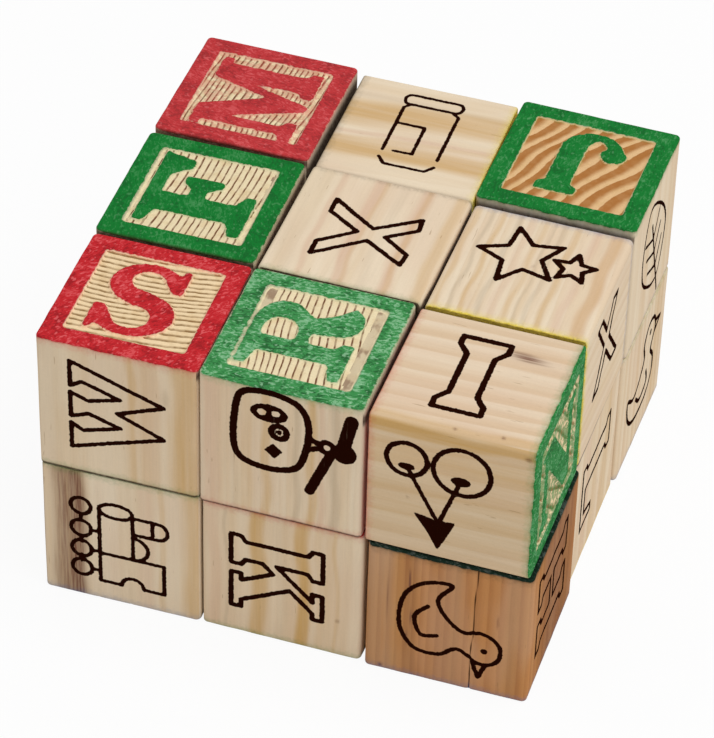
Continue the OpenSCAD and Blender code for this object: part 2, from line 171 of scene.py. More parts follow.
BLOCKS = {
    "block_s": Block("z", "ST", ("red", "green"), {
        "front": Print("W", 90, (0.0, 0.03)), "left": Print("boat"),
        "back": Print("P", -90), "right": Print("kite")},
        heart=(-0.35, 4.2), ring=1.25, contrast=0.25, speckle=(0.55, 0.3), late=(0.45, 0.8),
        roll=(1.1, 0.45),
        bands={
            "front": [all_over("warm", 0.25), Band(0.085, 0.03, "warm", 0.45),
                      Band(0.42, 0.09, "warm", 0.75), Band(-0.42, 0.07, "grey", 0.2),
                      Band(0.2, 0.05, "pink", 0.3), Smudge(0.3, 0.025, "grey", 0.7, 0.23, 0.07),
                      gap_shade(0.995, 0.014, 1.2)],
            "right": [gap_shade(0.05, 0.04)]}),
    "block_r": Block("z", "RU", ("green", "red"), {
        "front": Print("helicopter"), "left": Print("C"),
        "back": Print("house"), "right": Print("M", 90)},
        heart=(6.5, 0.8), ring=1.3, turns=(90, 0), contrast=0.1, calm=2.0, late=(0.66, 0.8),
        cut="cut_pink", furrow="furrow_red", speckle=(1.5, 0.3), roll=(0.3, 0.25), arched=["front"],
        bands={
            "front": [all_over("warm", 0.2), Band(-0.085, 0.03, "warm", 0.6),
                      Band(0.19, 0.03, "warm", 0.7), Band(0.1, 0.022, "grey", 0.7),
                      Band(0.33, 0.03, "grey", 0.75), Band(-0.28, 0.02, "grey", 0.3),
                      Band(-0.42, 0.05, "pink", 0.8), Band(0.25, 0.02, "pink", 0.7),
                      Band(-0.2, 0.03, "warm", 0.25), gap_shade(0.995, 0.014, 1.1)],
            "right": [gap_shade()]}),
    "block_cherries": Block("x", "NC", ("green", "red"), {
        "front": Print("cherries", 180), "top": Print("I", 0, (-0.045, 0.01)),
        "back": Print("bell"), "under": Print("B")},
        heart=(2.9, 2.9), ring=3.2, lean=(0.02, 0.03), contrast=0.48,
        speckle=(0.8, 0.4), wear=0.7, roll=(1.0, 0.1),
        bands={
            "top": [all_over("pink", 0.35), Band(-0.475, 0.045, "warm", 0.6),
                    Smudge(0.29, 0.011, "brown", 0.9, 0.17, 0.09),
                    Smudge(0.262, 0.012, "brown", 1.0, 0.22, 0.11),
                    Smudge(0.235, 0.01, "brown", 0.7, 0.26, 0.09),
                    Smudge(0.26, 0.04, "brown", 0.3, 0.2, 0.12),
                    Smudge(-0.44, 0.014, "brown", 0.9, 0.28, 0.012),
                    Smudge(-0.46, 0.012, "brown", 0.9, 0.0, 0.012)],
            "front": [Band(0.445, 0.05, "warm", 0.95, 0.01), Band(0.25, 0.08, "warm", 0.12),
                      Band(-0.2, 0.3, "grey", 0.3), all_over("warm", 0.5),
                      Smudge(0.43, 0.014, "brown", 1.0, 0.45, 0.022),
                      Smudge(-0.07, 0.009, "brown", 0.8, -0.25, 0.007)]}),
    "block_f": Block("z", "FG", ("green", "red"), {
        "front": Print("A"), "left": Print("fish", 90),
        "back": Print("cup"), "right": Print("T")},
        heart=(-7.0, 0.6), ring=1.3, turns=(90, 90), contrast=0.15, cut="cut_pink",
        furrow="furrow_red", speckle=(0.3, 0.3), calm=0.9, late=(0.66, 0.8), roll=(0.6, 0.3),
        arched=["front"],
        bands={
            "right": [gap_shade()],
            "front": [gap_shade(0.035, 0.03)]}),
    # The back end's near-black green is painted shade in the gap to the jar block
    "block_x": Block("y", "YA", ("deep_green", "green"), {
        "top": Print("cross"), "left": Print("H", 90),
        "right": Print("apple"), "under": Print("O")},
        heart=(1.2, 4.4), ring=2.2, lean=(0.05, 0.0), contrast=0.12, roll=(-0.3, -0.6),
        # Both ends are painted dark round their rims, as painted shade in the gaps
        rim_shade=(0.9, 0.9),
        bands={
            "top": [Band(-0.28, 0.022, "pink", 0.7), Band(-0.05, 0.04, "pink", 0.9, -0.02),
                    Band(0.24, 0.04, "pink", 0.95), Band(0.25, 0.02, "warm", 0.4),
                    Band(0.45, 0.04, "warm", 0.5), Band(-0.02, 0.015, "warm", 0.3),
                    Band(0.1, 0.03, "grey", 0.2), Band(-0.4, 0.06, "grey", 0.2)],
            # Painted shade in the gap to the star block
            "right": [Band(0.405, 0.045, "dirt", 1.0)]}),
    "block_star": Block("y", "LQ", ("blue", "yellow"), {
        "top": Print("stars"), "left": Print("G", 90),
        "right": Print("cross", 90, (-0.03, 0.09), 0.95, 1.05), "under": Print("leaf")},
        heart=(-3.2, 2.3), ring=1.9, lean=(0.03, 0.0), contrast=0.22, roll=(0.3, 0.5),
        # The front end is painted dark round its rim, as painted shade in the gap
        rim_shade=(0, 0.5),
        bands={
            "top": [Band(0.41, 0.042, "warm", 0.6), Band(-0.46, 0.02, "warm", 0.6),
                    Band(-0.37, 0.014, "grey", 0.6), Band(-0.3, 0.016, "warm", 0.6),
                    Band(-0.2, 0.02, "grey", 0.6), Band(-0.03, 0.018, "warm", 0.5),
                    Band(0.02, 0.01, "grey", 0.5), Band(0.08, 0.018, "grey", 0.45),
                    Band(0.17, 0.022, "warm", 0.55), Band(0.28, 0.03, "pink", 0.7),
                    Band(-0.12, 0.03, "pink", 0.5), Band(0.41, 0.045, "pink", 0.8),
                    Smudge(0.0, 0.006, "brown", 0.7, 0.05, 0.02)]}),
    "block_m": Block("z", "MD", ("faded_red", "green"), {
        "front": Print("Z"), "left": Print("duck", 90),
        "back": Print("K", -90), "right": Print("ball")},
        heart=(7.5, -0.5), ring=1.1, turns=(90, 0), contrast=0.15, speckle=(0.35, 0.3), wear=0.35,
        cut="cut_pink", furrow="furrow_red", late=(0.5, 0.8), roll=(0.6, 0.3),
        arched=["front"],
        bands={
            "right": [gap_shade(0.115, 0.075)],
            "front": [gap_shade(0.035, 0.03)]}),
    # The left end's near-black green is painted shade in the gap to the M block
    "block_jar": Block("x", "VB", ("yellow", "deep_green"), {
        "top": Print("jar"), "front": Print("E"),
        "back": Print("train"), "under": Print("N", 90)},
        heart=(1.9, 3.6), ring=2.6, lean=(0.0, 0.06), contrast=0.1, roll=(0.3, 0.3),
        bands={
            "top": [Band(0.17, 0.12, "warm", 0.95, 0.1), Band(-0.22, 0.085, "warm", 0.95, 0.04),
                    Band(-0.06, 0.02, "pink", 0.7, 0.06), Band(0.3, 0.03, "grey", 0.3),
                    Band(-0.1, 0.02, "warm", 0.35, 0.1)]}),
    "block_j": Block("z", "JK", ("green", "blue"), {
        "front": Print("F"), "left": Print("S"),
        "back": Print("star"), "right": Print("leaf", 20, (0.03, -0.04), 1.25, 0.75)},
        heart=(2.2, -1.1), ring=3.3, turns=(180, 0), contrast=0.2, cut="cut_orange",
        furrow="ring_orange", late=(0.15, 0.6), speckle=(0.35, 0.3), roll=(1.0, -0.6),
        bands={"front": [gap_shade(0.075, 0.035, 0.8)]}),
    "block_train": Block("z", "HI", ("green", "blue"), {
        "front": Print("train", -90), "left": Print("R", 90),
        "back": Print("moon"), "right": Print("D")},
        heart=(0.3, 5.0), ring=2.4, contrast=0.12, roll=(-0.3, 0.3),
        bands={
            "front": [Band(-0.32, 0.11, "warm", 0.6), Band(-0.325, 0.1, "brown", 0.85),
                      Band(-0.26, 0.045, "brown", 0.35), all_over("warm", 0.05),
                      Band(-0.47, 0.03, "warm", 0.25), Band(0.47, 0.07, "warm", 0.75),
                      Band(0.26, 0.02, "warm", 0.5), split(-0.153, 0.25),
                      split(0.05, 0.25), Band(0.16, 0.05, "pink", 0.5)],
            "left": [Band(0.46, 0.05, "brown", 0.6)]}),
    "block_k": Block("z", "OE", ("red", "green"), {
        "front": Print("K", -90, (-0.03, 0.0), 0.95), "left": Print("kite"),
        "back": Print("J"), "right": Print("house")},
        heart=(-1.6, 4.6), ring=1.9, lean=(0.05, 0.0), contrast=0.15, roll=(0.1, 0.3),
        bands={
            "front": [all_over("warm", 0.25), Band(-0.145, 0.05, "warm", 0.8),
                      Band(0.135, 0.045, "warm", 0.9), Band(-0.42, 0.04, "pink", 0.6),
                      Band(0.34, 0.015, "warm", 0.4), Band(0.24, 0.03, "warm", 0.3),
                      Band(-0.34, 0.012, "grey", 0.6), Band(0.0, 0.04, "grey", 0.2),
                      Smudge(0.35, 0.012, "brown", 0.8, -0.22, 0.016)]}),
    # The top end's near-black green, run over the arched front edge, is partly painted shade under the
    # block above
    "block_bird": Block("z", "WA", ("deep_green", "blue"), {
        "front": Print("duck", -90, (0.0, -0.02)), "left": Print("Q"),
        "back": Print("U", 90), "right": Print("H", -90, (-0.03, 0.03))},
        heart=(3.0, 1.2), ring=1.5, timber="heartwood", contrast=0.35, arched=["front"],
        bands={
            "right": [Band(0.1, 0.4, "brown", 0.75)],
            "front": [split(0.156, 1.0, 0.037), Band(-0.23, 0.05, "brown", 0.35),
                      Band(-0.42, 0.1, "grey", 0.35), Band(0.0, 0.1, "brown", 0.2),
                      Band(0.4, 0.05, "brown", 0.2),
                      Smudge(-0.235, 0.006, "brown", 1.0, 0.27, 0.09),
                      Smudge(-0.22, 0.006, "brown", 1.0, -0.02, 0.07),
                      Smudge(-0.25, 0.005, "brown", 0.9, -0.2, 0.06),
                      Smudge(-0.37, 0.006, "brown", 0.7, 0.1, 0.16),
                      Smudge(0.3, 0.005, "brown", 0.8, 0.1, 0.05),
                      Smudge(-0.4, 0.014, "brown", 1.0, -0.47, 0.018)]}),
    "block_low_left": Block("x", "PZ", ("yellow", "red"), {
        "front": Print("L"), "top": Print("apple"),
        "back": Print("V"), "under": Print("fish")},
        heart=(2.6, 3.1), ring=1.8),
    "block_low_middle": Block("x", "XS", ("blue", "green"), {
        "front": Print("N"), "top": Print("cup"),
        "back": Print("G"), "under": Print("star")},
        heart=(-2.2, 3.9), ring=2.1),
    "block_low_right": Block("z", "YM", ("blue", "yellow"), {
        "front": Print("moon"), "left": Print("X"),
        "back": Print("B", 90), "right": Print("L", -90, (0, 0.03), 1.0, 0.9)},
        heart=(4.6, 1.3), ring=1.7, lean=(0.04, 0.0), roll=(-1.0, 0.3),
        bands={
            "right": [Band(-0.2, 0.06, "pink", 0.6), Band(0.25, 0.08, "warm", 0.3),
                      gap_shade(0.0, 0.02)]}),
    "block_low_back_left": Block("y", "RN", ("green", "blue"), {
        "top": Print("boat"), "left": Print("W"),
        "right": Print("bell"), "under": Print("C")},
        heart=(1.8, 3.7), ring=2.0,
        bands={"left": [Band(-0.2, 0.06, "warm", 0.5)]}),
    "block_low_back": Block("z", "FT", ("yellow", "green"), {
        "front": Print("Y"), "left": Print("ball"),
        "back": Print("apple"), "right": Print("O")},
        heart=(0.9, -4.1), ring=1.6,
        bands={"back": [Band(0.2, 0.07, "warm", 0.5)]}),
    "block_low_back_right": Block("z", "JH", ("green", "blue"), {
        "front": Print("S"), "left": Print("cup"),
        "back": Print("A"), "right": Print("duck", 0, (0, 0), 1.0, 1.05)},
        heart=(-2.9, 2.8), ring=1.7, roll=(-1.0, 0.3),
        bands={"right": [Band(0.3, 0.1, "warm", 0.4)]}),
}
TOP_LAYER = ["block_s", "block_r", "block_cherries", "block_f", "block_x", "block_star",
             "block_m", "block_jar", "block_j"]
BOTTOM_LAYER = [name for name in BLOCKS if name not in TOP_LAYER]

# Directions to the right and up as each side of the stack is seen from outside
VIEWS = {
    "front": ((1, 0, 0), (0, 0, 1)), "right": ((0, 1, 0), (0, 0, 1)),
    "back": ((-1, 0, 0), (0, 0, 1)), "left": ((0, -1, 0), (0, 0, 1)),
    "top": ((1, 0, 0), (0, 1, 0)), "under": ((1, 0, 0), (0, -1, 0)),
}
# A block's directions a, b and c in the stack, before its small turn
GRAIN_AXES = {
    "z": ((1, 0, 0), (0, 1, 0), (0, 0, 1)),
    "x": ((0, 1, 0), (0, 0, 1), (1, 0, 0)),
    "y": ((-1, 0, 0), (0, 0, 1), (0, 1, 0)),
}


def size_prop(name, description, size):
    """A setting in metres, with its default in millimetres."""
    return bpy.props.FloatProperty(
        name=name, description=description, default=size * MM, unit="LENGTH")


def angle_prop(name, description, degrees):
    """A setting that is an angle."""
    return bpy.props.FloatProperty(
        name=name, description=description, default=math.radians(degrees), subtype="ANGLE")


def point_prop(name, description, spot):
    """A setting that is a point in metres."""
    return bpy.props.FloatVectorProperty(
        name=name, description=description, default=spot, subtype="TRANSLATION")


def colour_prop(name, description, code):
    """A setting that is a colour, with its default as a six-digit code."""
    return bpy.props.FloatVectorProperty(
        name=name, description=description, default=srgb(code), subtype="COLOR")


class BlockSizes(bpy.types.PropertyGroup):
    """Sizes of the finish on every block."""

    cell: size_prop("Cell", "Edge of a mesh cell", 0.33)
    long_round: size_prop("Long edges", "Radius of the edges that run with the grain", 1.0)
    bevel: size_prop("End bevel", "Radius of the edges round the two ends", 0.4)
    wall: size_prop("Wall", "Width of the slope beside the raised shapes", 0.24)
    depth: size_prop("Ground", "Depth of the ground round the letter", 0.5)
    ragged: size_prop("Ragged edges", "How far the raised edges wander", 0.06)
    ridge: size_prop("Ridges", "Height of the growth rings on the cut ground", 0.06)
    dent: size_prop("Dents", "Unevenness of the sanded sides", 0.03)
    split: size_prop("Split", "Width of a split in the timber", 0.26)
    paint_roll: size_prop("Paint roll", "How far the paint runs over the end's edges", 0.42)
    line: size_prop("Printed line", "Width of a printed line", 1.0)


class BlockColours(bpy.types.PropertyGroup):
    """Colours of the timber, the paints and the printing ink."""

    pine: colour_prop("Pine", "Pale wood between the rings", "ecdabf")
    pine_ring: colour_prop("Pine ring", "Late wood of a ring", "cfac80")
    warm: colour_prop("Warm stripe", "Resin-rich stripe", "cfa76c")
    pink: colour_prop("Pink stripe", "Reddish stripe", "dbb99e")
    grey: colour_prop("Grey stripe", "Weathered stripe", "bfad93")
    brown: colour_prop("Brown stripe", "Dark stripe in the timber", "7a5242")
    heartwood: colour_prop("Heartwood", "Wood from the middle of the tree", "c48a56")
    heartwood_ring: colour_prop("Heartwood ring", "Late wood of heartwood", "9c6238")
    cut: colour_prop("Cut ground", "Fresh wood of the cut ground", "f4dab0")
    cut_pink: colour_prop("Reddish cut ground", "Fresh reddish wood of the cut ground", "eeddb6")
    cut_orange: colour_prop("Orange cut ground", "Pale wood between wide rings", "e4bd8c")
    furrow: colour_prop("Furrow", "Line between ridges of the cut ground", "8f6d43")
    furrow_red: colour_prop("Red furrow", "Line between ridges of reddish ground", "6e3f26")
    ring_orange: colour_prop("Wide ring", "Late wood of the wide rings", "ad7038")
    red: colour_prop("Red", "Red paint", "c21e26")
    faded_red: colour_prop("Faded red", "Thin red paint", "c1383b")
    green: colour_prop("Green", "Green paint", "167a31")
    # Green paint darkened nearly to black: partly the paint's own colour and partly painted shade, on ends
    # seen only in narrow gaps between blocks
    deep_green: colour_prop("Deep green", "Thick green paint", "10261a")
    yellow: colour_prop("Yellow", "Yellow paint", "e8d257")
    blue: colour_prop("Blue", "Blue paint", "2467a6")
    ink: colour_prop("Ink", "Printing ink", "220a04")


class StageSettings(bpy.types.PropertyGroup):
    """Where the camera stands, and the light."""

    azimuth: angle_prop("Azimuth", "Turn round the stack", 16.99)
    elevation: angle_prop("Elevation", "Height above the horizon", 41.12)
    roll: angle_prop("Roll", "Turn about the line of sight", 1.652)
    distance: size_prop("Distance", "From the camera to its target", 713.3)
    target: point_prop("Target", "Point in the middle of the picture", (0.00001, -0.00285, 0.03))
    lens: bpy.props.FloatProperty(
        name="Lens", description="Focal length in millimetres", default=197.64)
    sky: bpy.props.FloatProperty(
        name="Sky", description="Strength of the light from all round", default=0.7)
    lamp: bpy.props.FloatProperty(
        name="Lamp", description="Power of the large soft lamp in watts", default=5.4)
    lamp_size: size_prop("Lamp size", "Edge of the soft lamp", 700)
    lamp_place: point_prop("Lamp place", "Where the lamp hangs", (0.42, -0.08, 1.01))
    floor_glow: bpy.props.FloatProperty(
        name="Floor glow", description="Share of plain white in the floor that the camera sees",
        default=0.92)
    floor_half: size_prop("Floor", "Half the edge of the floor", 3000)


# Lines and patches of the prints, in shares of the block's edge from the middle of the side


class Stroke:
    """Line segments of shape (n, 2, 2) that are drawn with a line, or filled."""

    def __init__(self, segments, width=1.0, filled=False):
        self.segments = np.asarray(segments, float)
        self.width = width
        self.filled = filled

    def placed(self, turn, shift, size):
        """The stroke turned by an angle in degrees, shifted and brought to size."""
        c, s = math.cos(math.radians(turn)), math.sin(math.radians(turn))
        moved = (self.segments @ np.array([[c, s], [-s, c]]) + np.array(shift)) * size
        return Stroke(moved, self.width, self.filled)


# Degrees between the points of an arc, and points on each stretch of a smooth curve
ARC_STEP = 12
CURVE_PARTS = 8


def arc(x, y, across, up, start, end):
    """Points of an ellipse round (x, y) from one angle to another."""
    count = max(2, math.ceil(abs(end - start) / ARC_STEP) + 1)
    angles = np.radians(np.linspace(start, end, count))
    return np.stack([x + across * np.cos(angles), y + up * np.sin(angles)], 1)


def oval(x, y, across, up=None, end=360 - ARC_STEP):
    """Points all round an ellipse, or a circle where only one radius is given. The line or
    patch is closed from the last point, at the end angle, to the first."""
    return arc(x, y, across, up or across, 0, end)


def smooth(points, closed=True):
    """Curve through all the points: a Catmull-Rom spline, whose tangent at each point is
    half the step from the point before to the point after."""
    p = np.array(points, float)
    p = np.concatenate([p[-1:], p, p[:2]]) if closed else np.concatenate([p[:1], p, p[-1:]])
    t = np.linspace(0, 1, CURVE_PARTS, endpoint=False)[:, None]
    a, b, c, d = (p[i:len(p) - 3 + i, None, :] for i in range(4))
    curve = 0.5 * (2 * b + (c - a) * t + (2 * a - 5 * b + 4 * c - d) * t**2
                   + (3 * b - a - 3 * c + d) * t**3)
    return np.concatenate([curve.reshape(-1, 2), p[-2:-1]])


def path(*points, width=1.0):
    """A line through points, or through arrays of points, one after the other."""
    run = np.concatenate([np.atleast_2d(np.asarray(p, float)) for p in points])
    return Stroke(np.stack([run[:-1], run[1:]], 1), width)


def loop(*points, width=1.0):
    """A closed line."""
    run = np.concatenate([np.atleast_2d(np.asarray(p, float)) for p in points])
    return path(run, run[:1], width=width)


def patch(*loops):
    """A filled shape. Further loops inside the first are its holes."""
    rings = [np.asarray(p, float) for p in loops]
    segments = [np.stack([r, np.roll(r, -1, axis=0)], 1) for r in rings]
    return Stroke(np.concatenate(segments), filled=True)


def star_line(x, y, reach, turn):
    """A five-pointed star. Every second of its ten points lies at under half the reach."""
    angles = np.radians(turn + 36 * np.arange(10))
    reaches = np.where(np.arange(10) % 2 == 0, reach, reach * 0.46)
    return loop(np.stack([x + reaches * np.cos(angles), y + reaches * np.sin(angles)], 1))


def draw_stars():
    """A large star with a small one beside it."""
    return [star_line(-0.09, 0.12, 0.27, 180), star_line(0.235, 0.11, 0.135, 90)]


def draw_star():
    """One star."""
    return [star_line(0, 0, 0.32, 90)]


def draw_cross():
    """The letter X as four plain bars."""
    return [loop((-.26, .24), (.03, .045), (.28, .22), (.29, .12), (.12, -.005), (.29, -.12),
                 (.28, -.22), (.03, -.07), (-.25, -.29), (-.25, -.17), (-.05, -.01), (-.26, .12))]


def draw_w():
    """The letter W, the same left and right, with wide heads that nearly meet."""
    half = np.array([(0, 0), (.125, -.29), (.335, .29), (.145, .29), (.19, .215), (.112, -.02),
                     (.05, .18), (.095, .29)])
    mirrored = half[:0:-1] * (-1, 1)
    return [loop(half, mirrored)]


def draw_i():
    """The letter I with slanted brackets."""
    right = np.array([(.145, .32), (.145, .25), (.085, .175), (.085, -.175), (.145, -.25),
                      (.145, -.32)])
    return [loop(right, right[::-1] * (-1, 1), width=1.15)]


def draw_jar():
    """A jar with a screw lid and a label."""
    return [
        loop(arc(.155, .335, .035, .047, 90, -90), arc(-.145, .335, .035, .047, 270, 90)),
        path((-.13, .285), (-.165, .25), (-.165, -.2)),
        path((.14, .285), (.185, .25), (.185, -.2)),
        path((-.165, -.27), (-.12, -.33), (.14, -.33), (.185, -.27)),
        path((-.165, .085), (.02, .085), (.02, -.19), (-.1, -.19)),
    ]


def draw_cherries():
    """Two cherries on stalks that meet in one pointed leaf."""
    return [
        loop(oval(.265, -.22, .122)), loop(oval(-.065, -.21, .172)),
        patch(oval(.265, -.165, .052, .026)), patch(oval(-.06, -.14, .06, .034)),
        path((.262, -.165), (.075, .2), width=.85), path((-.06, -.14), (.055, .2), width=.85),
        patch([(.215, .175), (.065, .2), (-.045, .185), (.01, .32), (.06, .43), (.13, .3)]),
    ]


def draw_train():
    """A toy engine, seen from its left side, on four linked wheels."""
    wheels = [loop(oval(x, -.25, .063)) for x in (-.23, -.05, .115, .27)]
    rods = [path((x, -.25), (x + .05, -.25)) for x in (-.165, .012, .17)]
    boiler = [
        path((-.24, .075), (.12, .075)), path((-.24, -.135), (.12, -.135)),
        loop(oval(-.24, -.03, .055, .105)), path((-.05, -.19), (-.05, -.135)),
        path((.115, -.19), (.115, -.135)), path((.27, -.19), (.27, -.135)),
    ]
    chimney = [
        path((-.22, .075), (-.22, .235), arc(-.155, .235, .065, .06, 180, 0), (-.09, .075)),
        path((-.22, .2), (-.09, .2)),
    ]
    dome = [path(arc(.03, .075, .09, .095, 180, 0))]
    cab = [path((.12, .27), (.12, -.135), (.35, -.135), (.35, 0), arc(.35, .07, .07, .07, 270, 90),
                (.35, .27), (.12, .27))]
    return wheels + rods + boiler + chimney + dome + cab


def draw_duck():
    """A duck on the water, seen from the side."""
    body = smooth([(-.33, .02), (-.2, -.06), (-.08, -.02), (.02, .09), (.0, .22), (.07, .32),
                   (.2, .31), (.25, .2), (.17, .07), (.25, -.05), (.24, -.2), (.08, -.29),
                   (-.16, -.27), (-.3, -.15)])
    bill = path((.25, .24), (.36, .2), (.25, .16))
    wing = path(smooth([(-.12, -.12), (-.02, -.2), (.12, -.16), (.1, -.06)], closed=False))
    return [loop(body), bill, wing, patch(oval(.14, .23, .022, end=324))]


def draw_helicopter():
    """A toy helicopter from above: a rounded cabin with windows, and a rotor on its mast."""
    cabin = smooth([(-.27, .33), (-.22, .44), (-.06, .465), (.1, .42), (.165, .3), (.16, .12),
                    (.1, -.06), (-.06, -.115), (-.23, -.08), (-.285, .05)])
    window = oval(-.07, .31, .115, .068)
    return [
        loop(cabin, width=1.35),
        patch(window, oval(-.115, .31, .028, .024, 324), oval(-.03, .315, .026, .022, 324)),
        loop(oval(-.008, .18, .048), width=1.2), patch(oval(-.008, .18, .018, end=324)),
        patch([(-.045, .085), (.015, .035), (-.035, -.03), (-.1, .025)]),
        path((.165, .19), (.23, .165), width=1.2), path((.16, .1), (.235, .13), width=1.2),
        loop(oval(.28, .147, .04, end=340), width=1.2),
        path((.425, .39), (.37, .13), width=2.5), path((.3, .09), (.18, -.215), width=1.9),
        patch(oval(.385, .13, .075)),
    ]


def draw_leaf():
    """A leaf with its veins and stalk."""
    veins = [path((0, y), (side * .12, y + .1)) for y in (-.14, -.02, .1) for side in (-1, 1)]
    return [
        loop(smooth([(0, .36), (.15, .2), (.2, 0), (.1, -.18), (0, -.24), (-.1, -.18), (-.2, 0),
                     (-.15, .2)])),
        path((0, .22), (0, -.36)), *veins,
    ]


def draw_fish():
    """A fish with a tail and a fin."""
    return [
        loop(smooth([(-.3, 0), (-.16, .14), (.04, .16), (.2, .03), (.2, -.03), (.04, -.16), (-.16, -.14)])),
        path((.2, .02), (.35, .15), (.35, -.15), (.2, -.02)), patch(oval(-.19, .04, .022, end=324)),
        path(arc(-.14, 0, .06, .13, 60, -60)),
    ]


def draw_boat():
    """A boat with two sails."""
    return [
        loop((-.3, -.14), (.32, -.14), (.2, -.29), (-.2, -.29)), path((0, -.14), (0, .36)),
        loop((.05, .3), (.05, -.06), (.27, -.06)), loop((-.05, .22), (-.05, -.06), (-.22, -.06)),
    ]


def draw_house():
    """A house with a door, a window and a chimney."""
    return [
        loop((-.25, -.3), (.25, -.3), (.25, .06), (-.25, .06)), path((-.32, .04), (0, .33), (.32, .04)),
        path((-.16, -.3), (-.16, -.08), (-.02, -.08), (-.02, -.3)),
        loop((.06, -.05), (.18, -.05), (.18, -.17), (.06, -.17)),
        path((.13, .21), (.13, .32), (.21, .32), (.21, .14)),
    ]


def draw_cup():
    """A cup on a saucer."""
    return [
        path((-.22, .2), (-.2, -.1), arc(-.02, -.1, .16, .1, 195, 345), (.17, .2)),
        loop(oval(-.025, .2, .195, .05)), path(arc(.19, .05, .11, .1, 75, -85)),
        path(arc(-.02, -.24, .29, .06, 165, 375)),
    ]


def draw_kite():
    """A kite with a tail of bows."""
    bows = [patch([(x, y), (x + .05, y + .03), (x + .05, y - .03), (x, y), (x - .05, y + .03),
                   (x - .05, y - .03)]) for x, y in ((.0, -.2), (-.07, -.3))]
    return [loop((0, .36), (.2, .14), (0, -.14), (-.2, .14)), path((0, .36), (0, -.14)),
            path((-.2, .14), (.2, .14)), path((0, -.14), (.02, -.2), (-.07, -.3), (-.13, -.35)), *bows]


def draw_apple():
    """An apple with a leaf."""
    return [
        loop(smooth([(0, .14), (.12, .19), (.25, .1), (.25, -.1), (.13, -.28), (0, -.25), (-.13, -.28),
                     (-.25, -.1), (-.25, .1), (-.12, .19)])),
        path((0, .14), (.02, .28)), loop(smooth([(.02, .27), (.1, .34), (.2, .33), (.12, .26)])),
    ]


def draw_bell():
    """A hand bell."""
    return [
        path((-.25, -.2), smooth([(-.17, -.1), (-.15, .1), (-.08, .2), (.08, .2), (.15, .1), (.17, -.1)],
                                 closed=False), (.25, -.2), (-.25, -.2)),
        patch(oval(0, -.26, .055)), loop(oval(0, .26, .06)),
    ]


def draw_ball():
    """A beach ball."""
    return [loop(oval(0, 0, .28)), path(arc(0, 0, .11, .28, 90, 270)),
            path(arc(0, 0, .11, .28, -90, 90)), loop(oval(0, .0, .03, end=324))]


def draw_moon():
    """A crescent moon with a small star."""
    return [loop(arc(0, 0, .29, .29, 60, 300), arc(.11, 0, .22, .25, 262, 98)),
            star_line(.19, .02, .1, 90)]


PICTURES = {
    "stars": draw_stars, "star": draw_star, "cross": draw_cross, "W": draw_w, "I": draw_i,
    "jar": draw_jar, "cherries": draw_cherries, "train": draw_train, "duck": draw_duck,
    "helicopter": draw_helicopter, "leaf": draw_leaf, "fish": draw_fish, "boat": draw_boat,
    "house": draw_house, "cup": draw_cup, "kite": draw_kite, "apple": draw_apple,
    "bell": draw_bell, "ball": draw_ball, "moon": draw_moon,
}
# Weights of the prints whose lines are thinner or bolder than the others
LINE_WEIGHTS = {"jar": 0.72, "stars": 0.98, "cross": 0.95, "W": 0.9, "train": 0.82, "duck": 0.9}


# Distances

# How many points are measured at a time
BATCH = 4096


def batches(points):
    """The points in groups that are small enough to set against every segment at once."""
    return np.array_split(points, max(1, len(points) // BATCH))


def distance_to(points, segments):
    """Distance from each point to the nearest segment: the point is projected onto each
    segment's line, and the foot is kept between the segment's ends."""
    start, along = segments[:, 0], segments[:, 1] - segments[:, 0]
    square = np.maximum((along**2).sum(1), 1e-12)
    found = []
    for part in batches(points):
        reach = part[:, None] - start
        share = np.clip((reach * along).sum(2) / square, 0, 1)
        found.append(np.hypot(*np.moveaxis(reach - share[..., None] * along, 2, 0)).min(1))
    return np.concatenate(found)


def inside(points, segments):
    """Whether a line from each point to the right crosses an odd number of segments."""
    (x0, y0), (x1, y1) = segments[:, 0].T, segments[:, 1].T
    slope = (x1 - x0) / np.where(y1 == y0, 1, y1 - y0)
    found = []
    for part in batches(points):
        x, y = part[:, :1], part[:, 1:]
        crossing = ((y0 > y) != (y1 > y)) & (x < x0 + slope * (y - y0))
        found.append(crossing.sum(1) % 2 == 1)
    return np.concatenate(found)


# A block's place and the outlines of its letters, read from the CAD solid

# In millimetres: how near to a plane its corners lie, and how far a letter stands inside its
# frame. In edges: how far from the middle the carving reaches at most.
SAME_PLANE = 0.01
LETTER_INSET = 0.5
CARVING_REACH = 0.45
# More micrometres than a block is wide, so that one number holds both places of a corner
PLACE_BASE = 100003


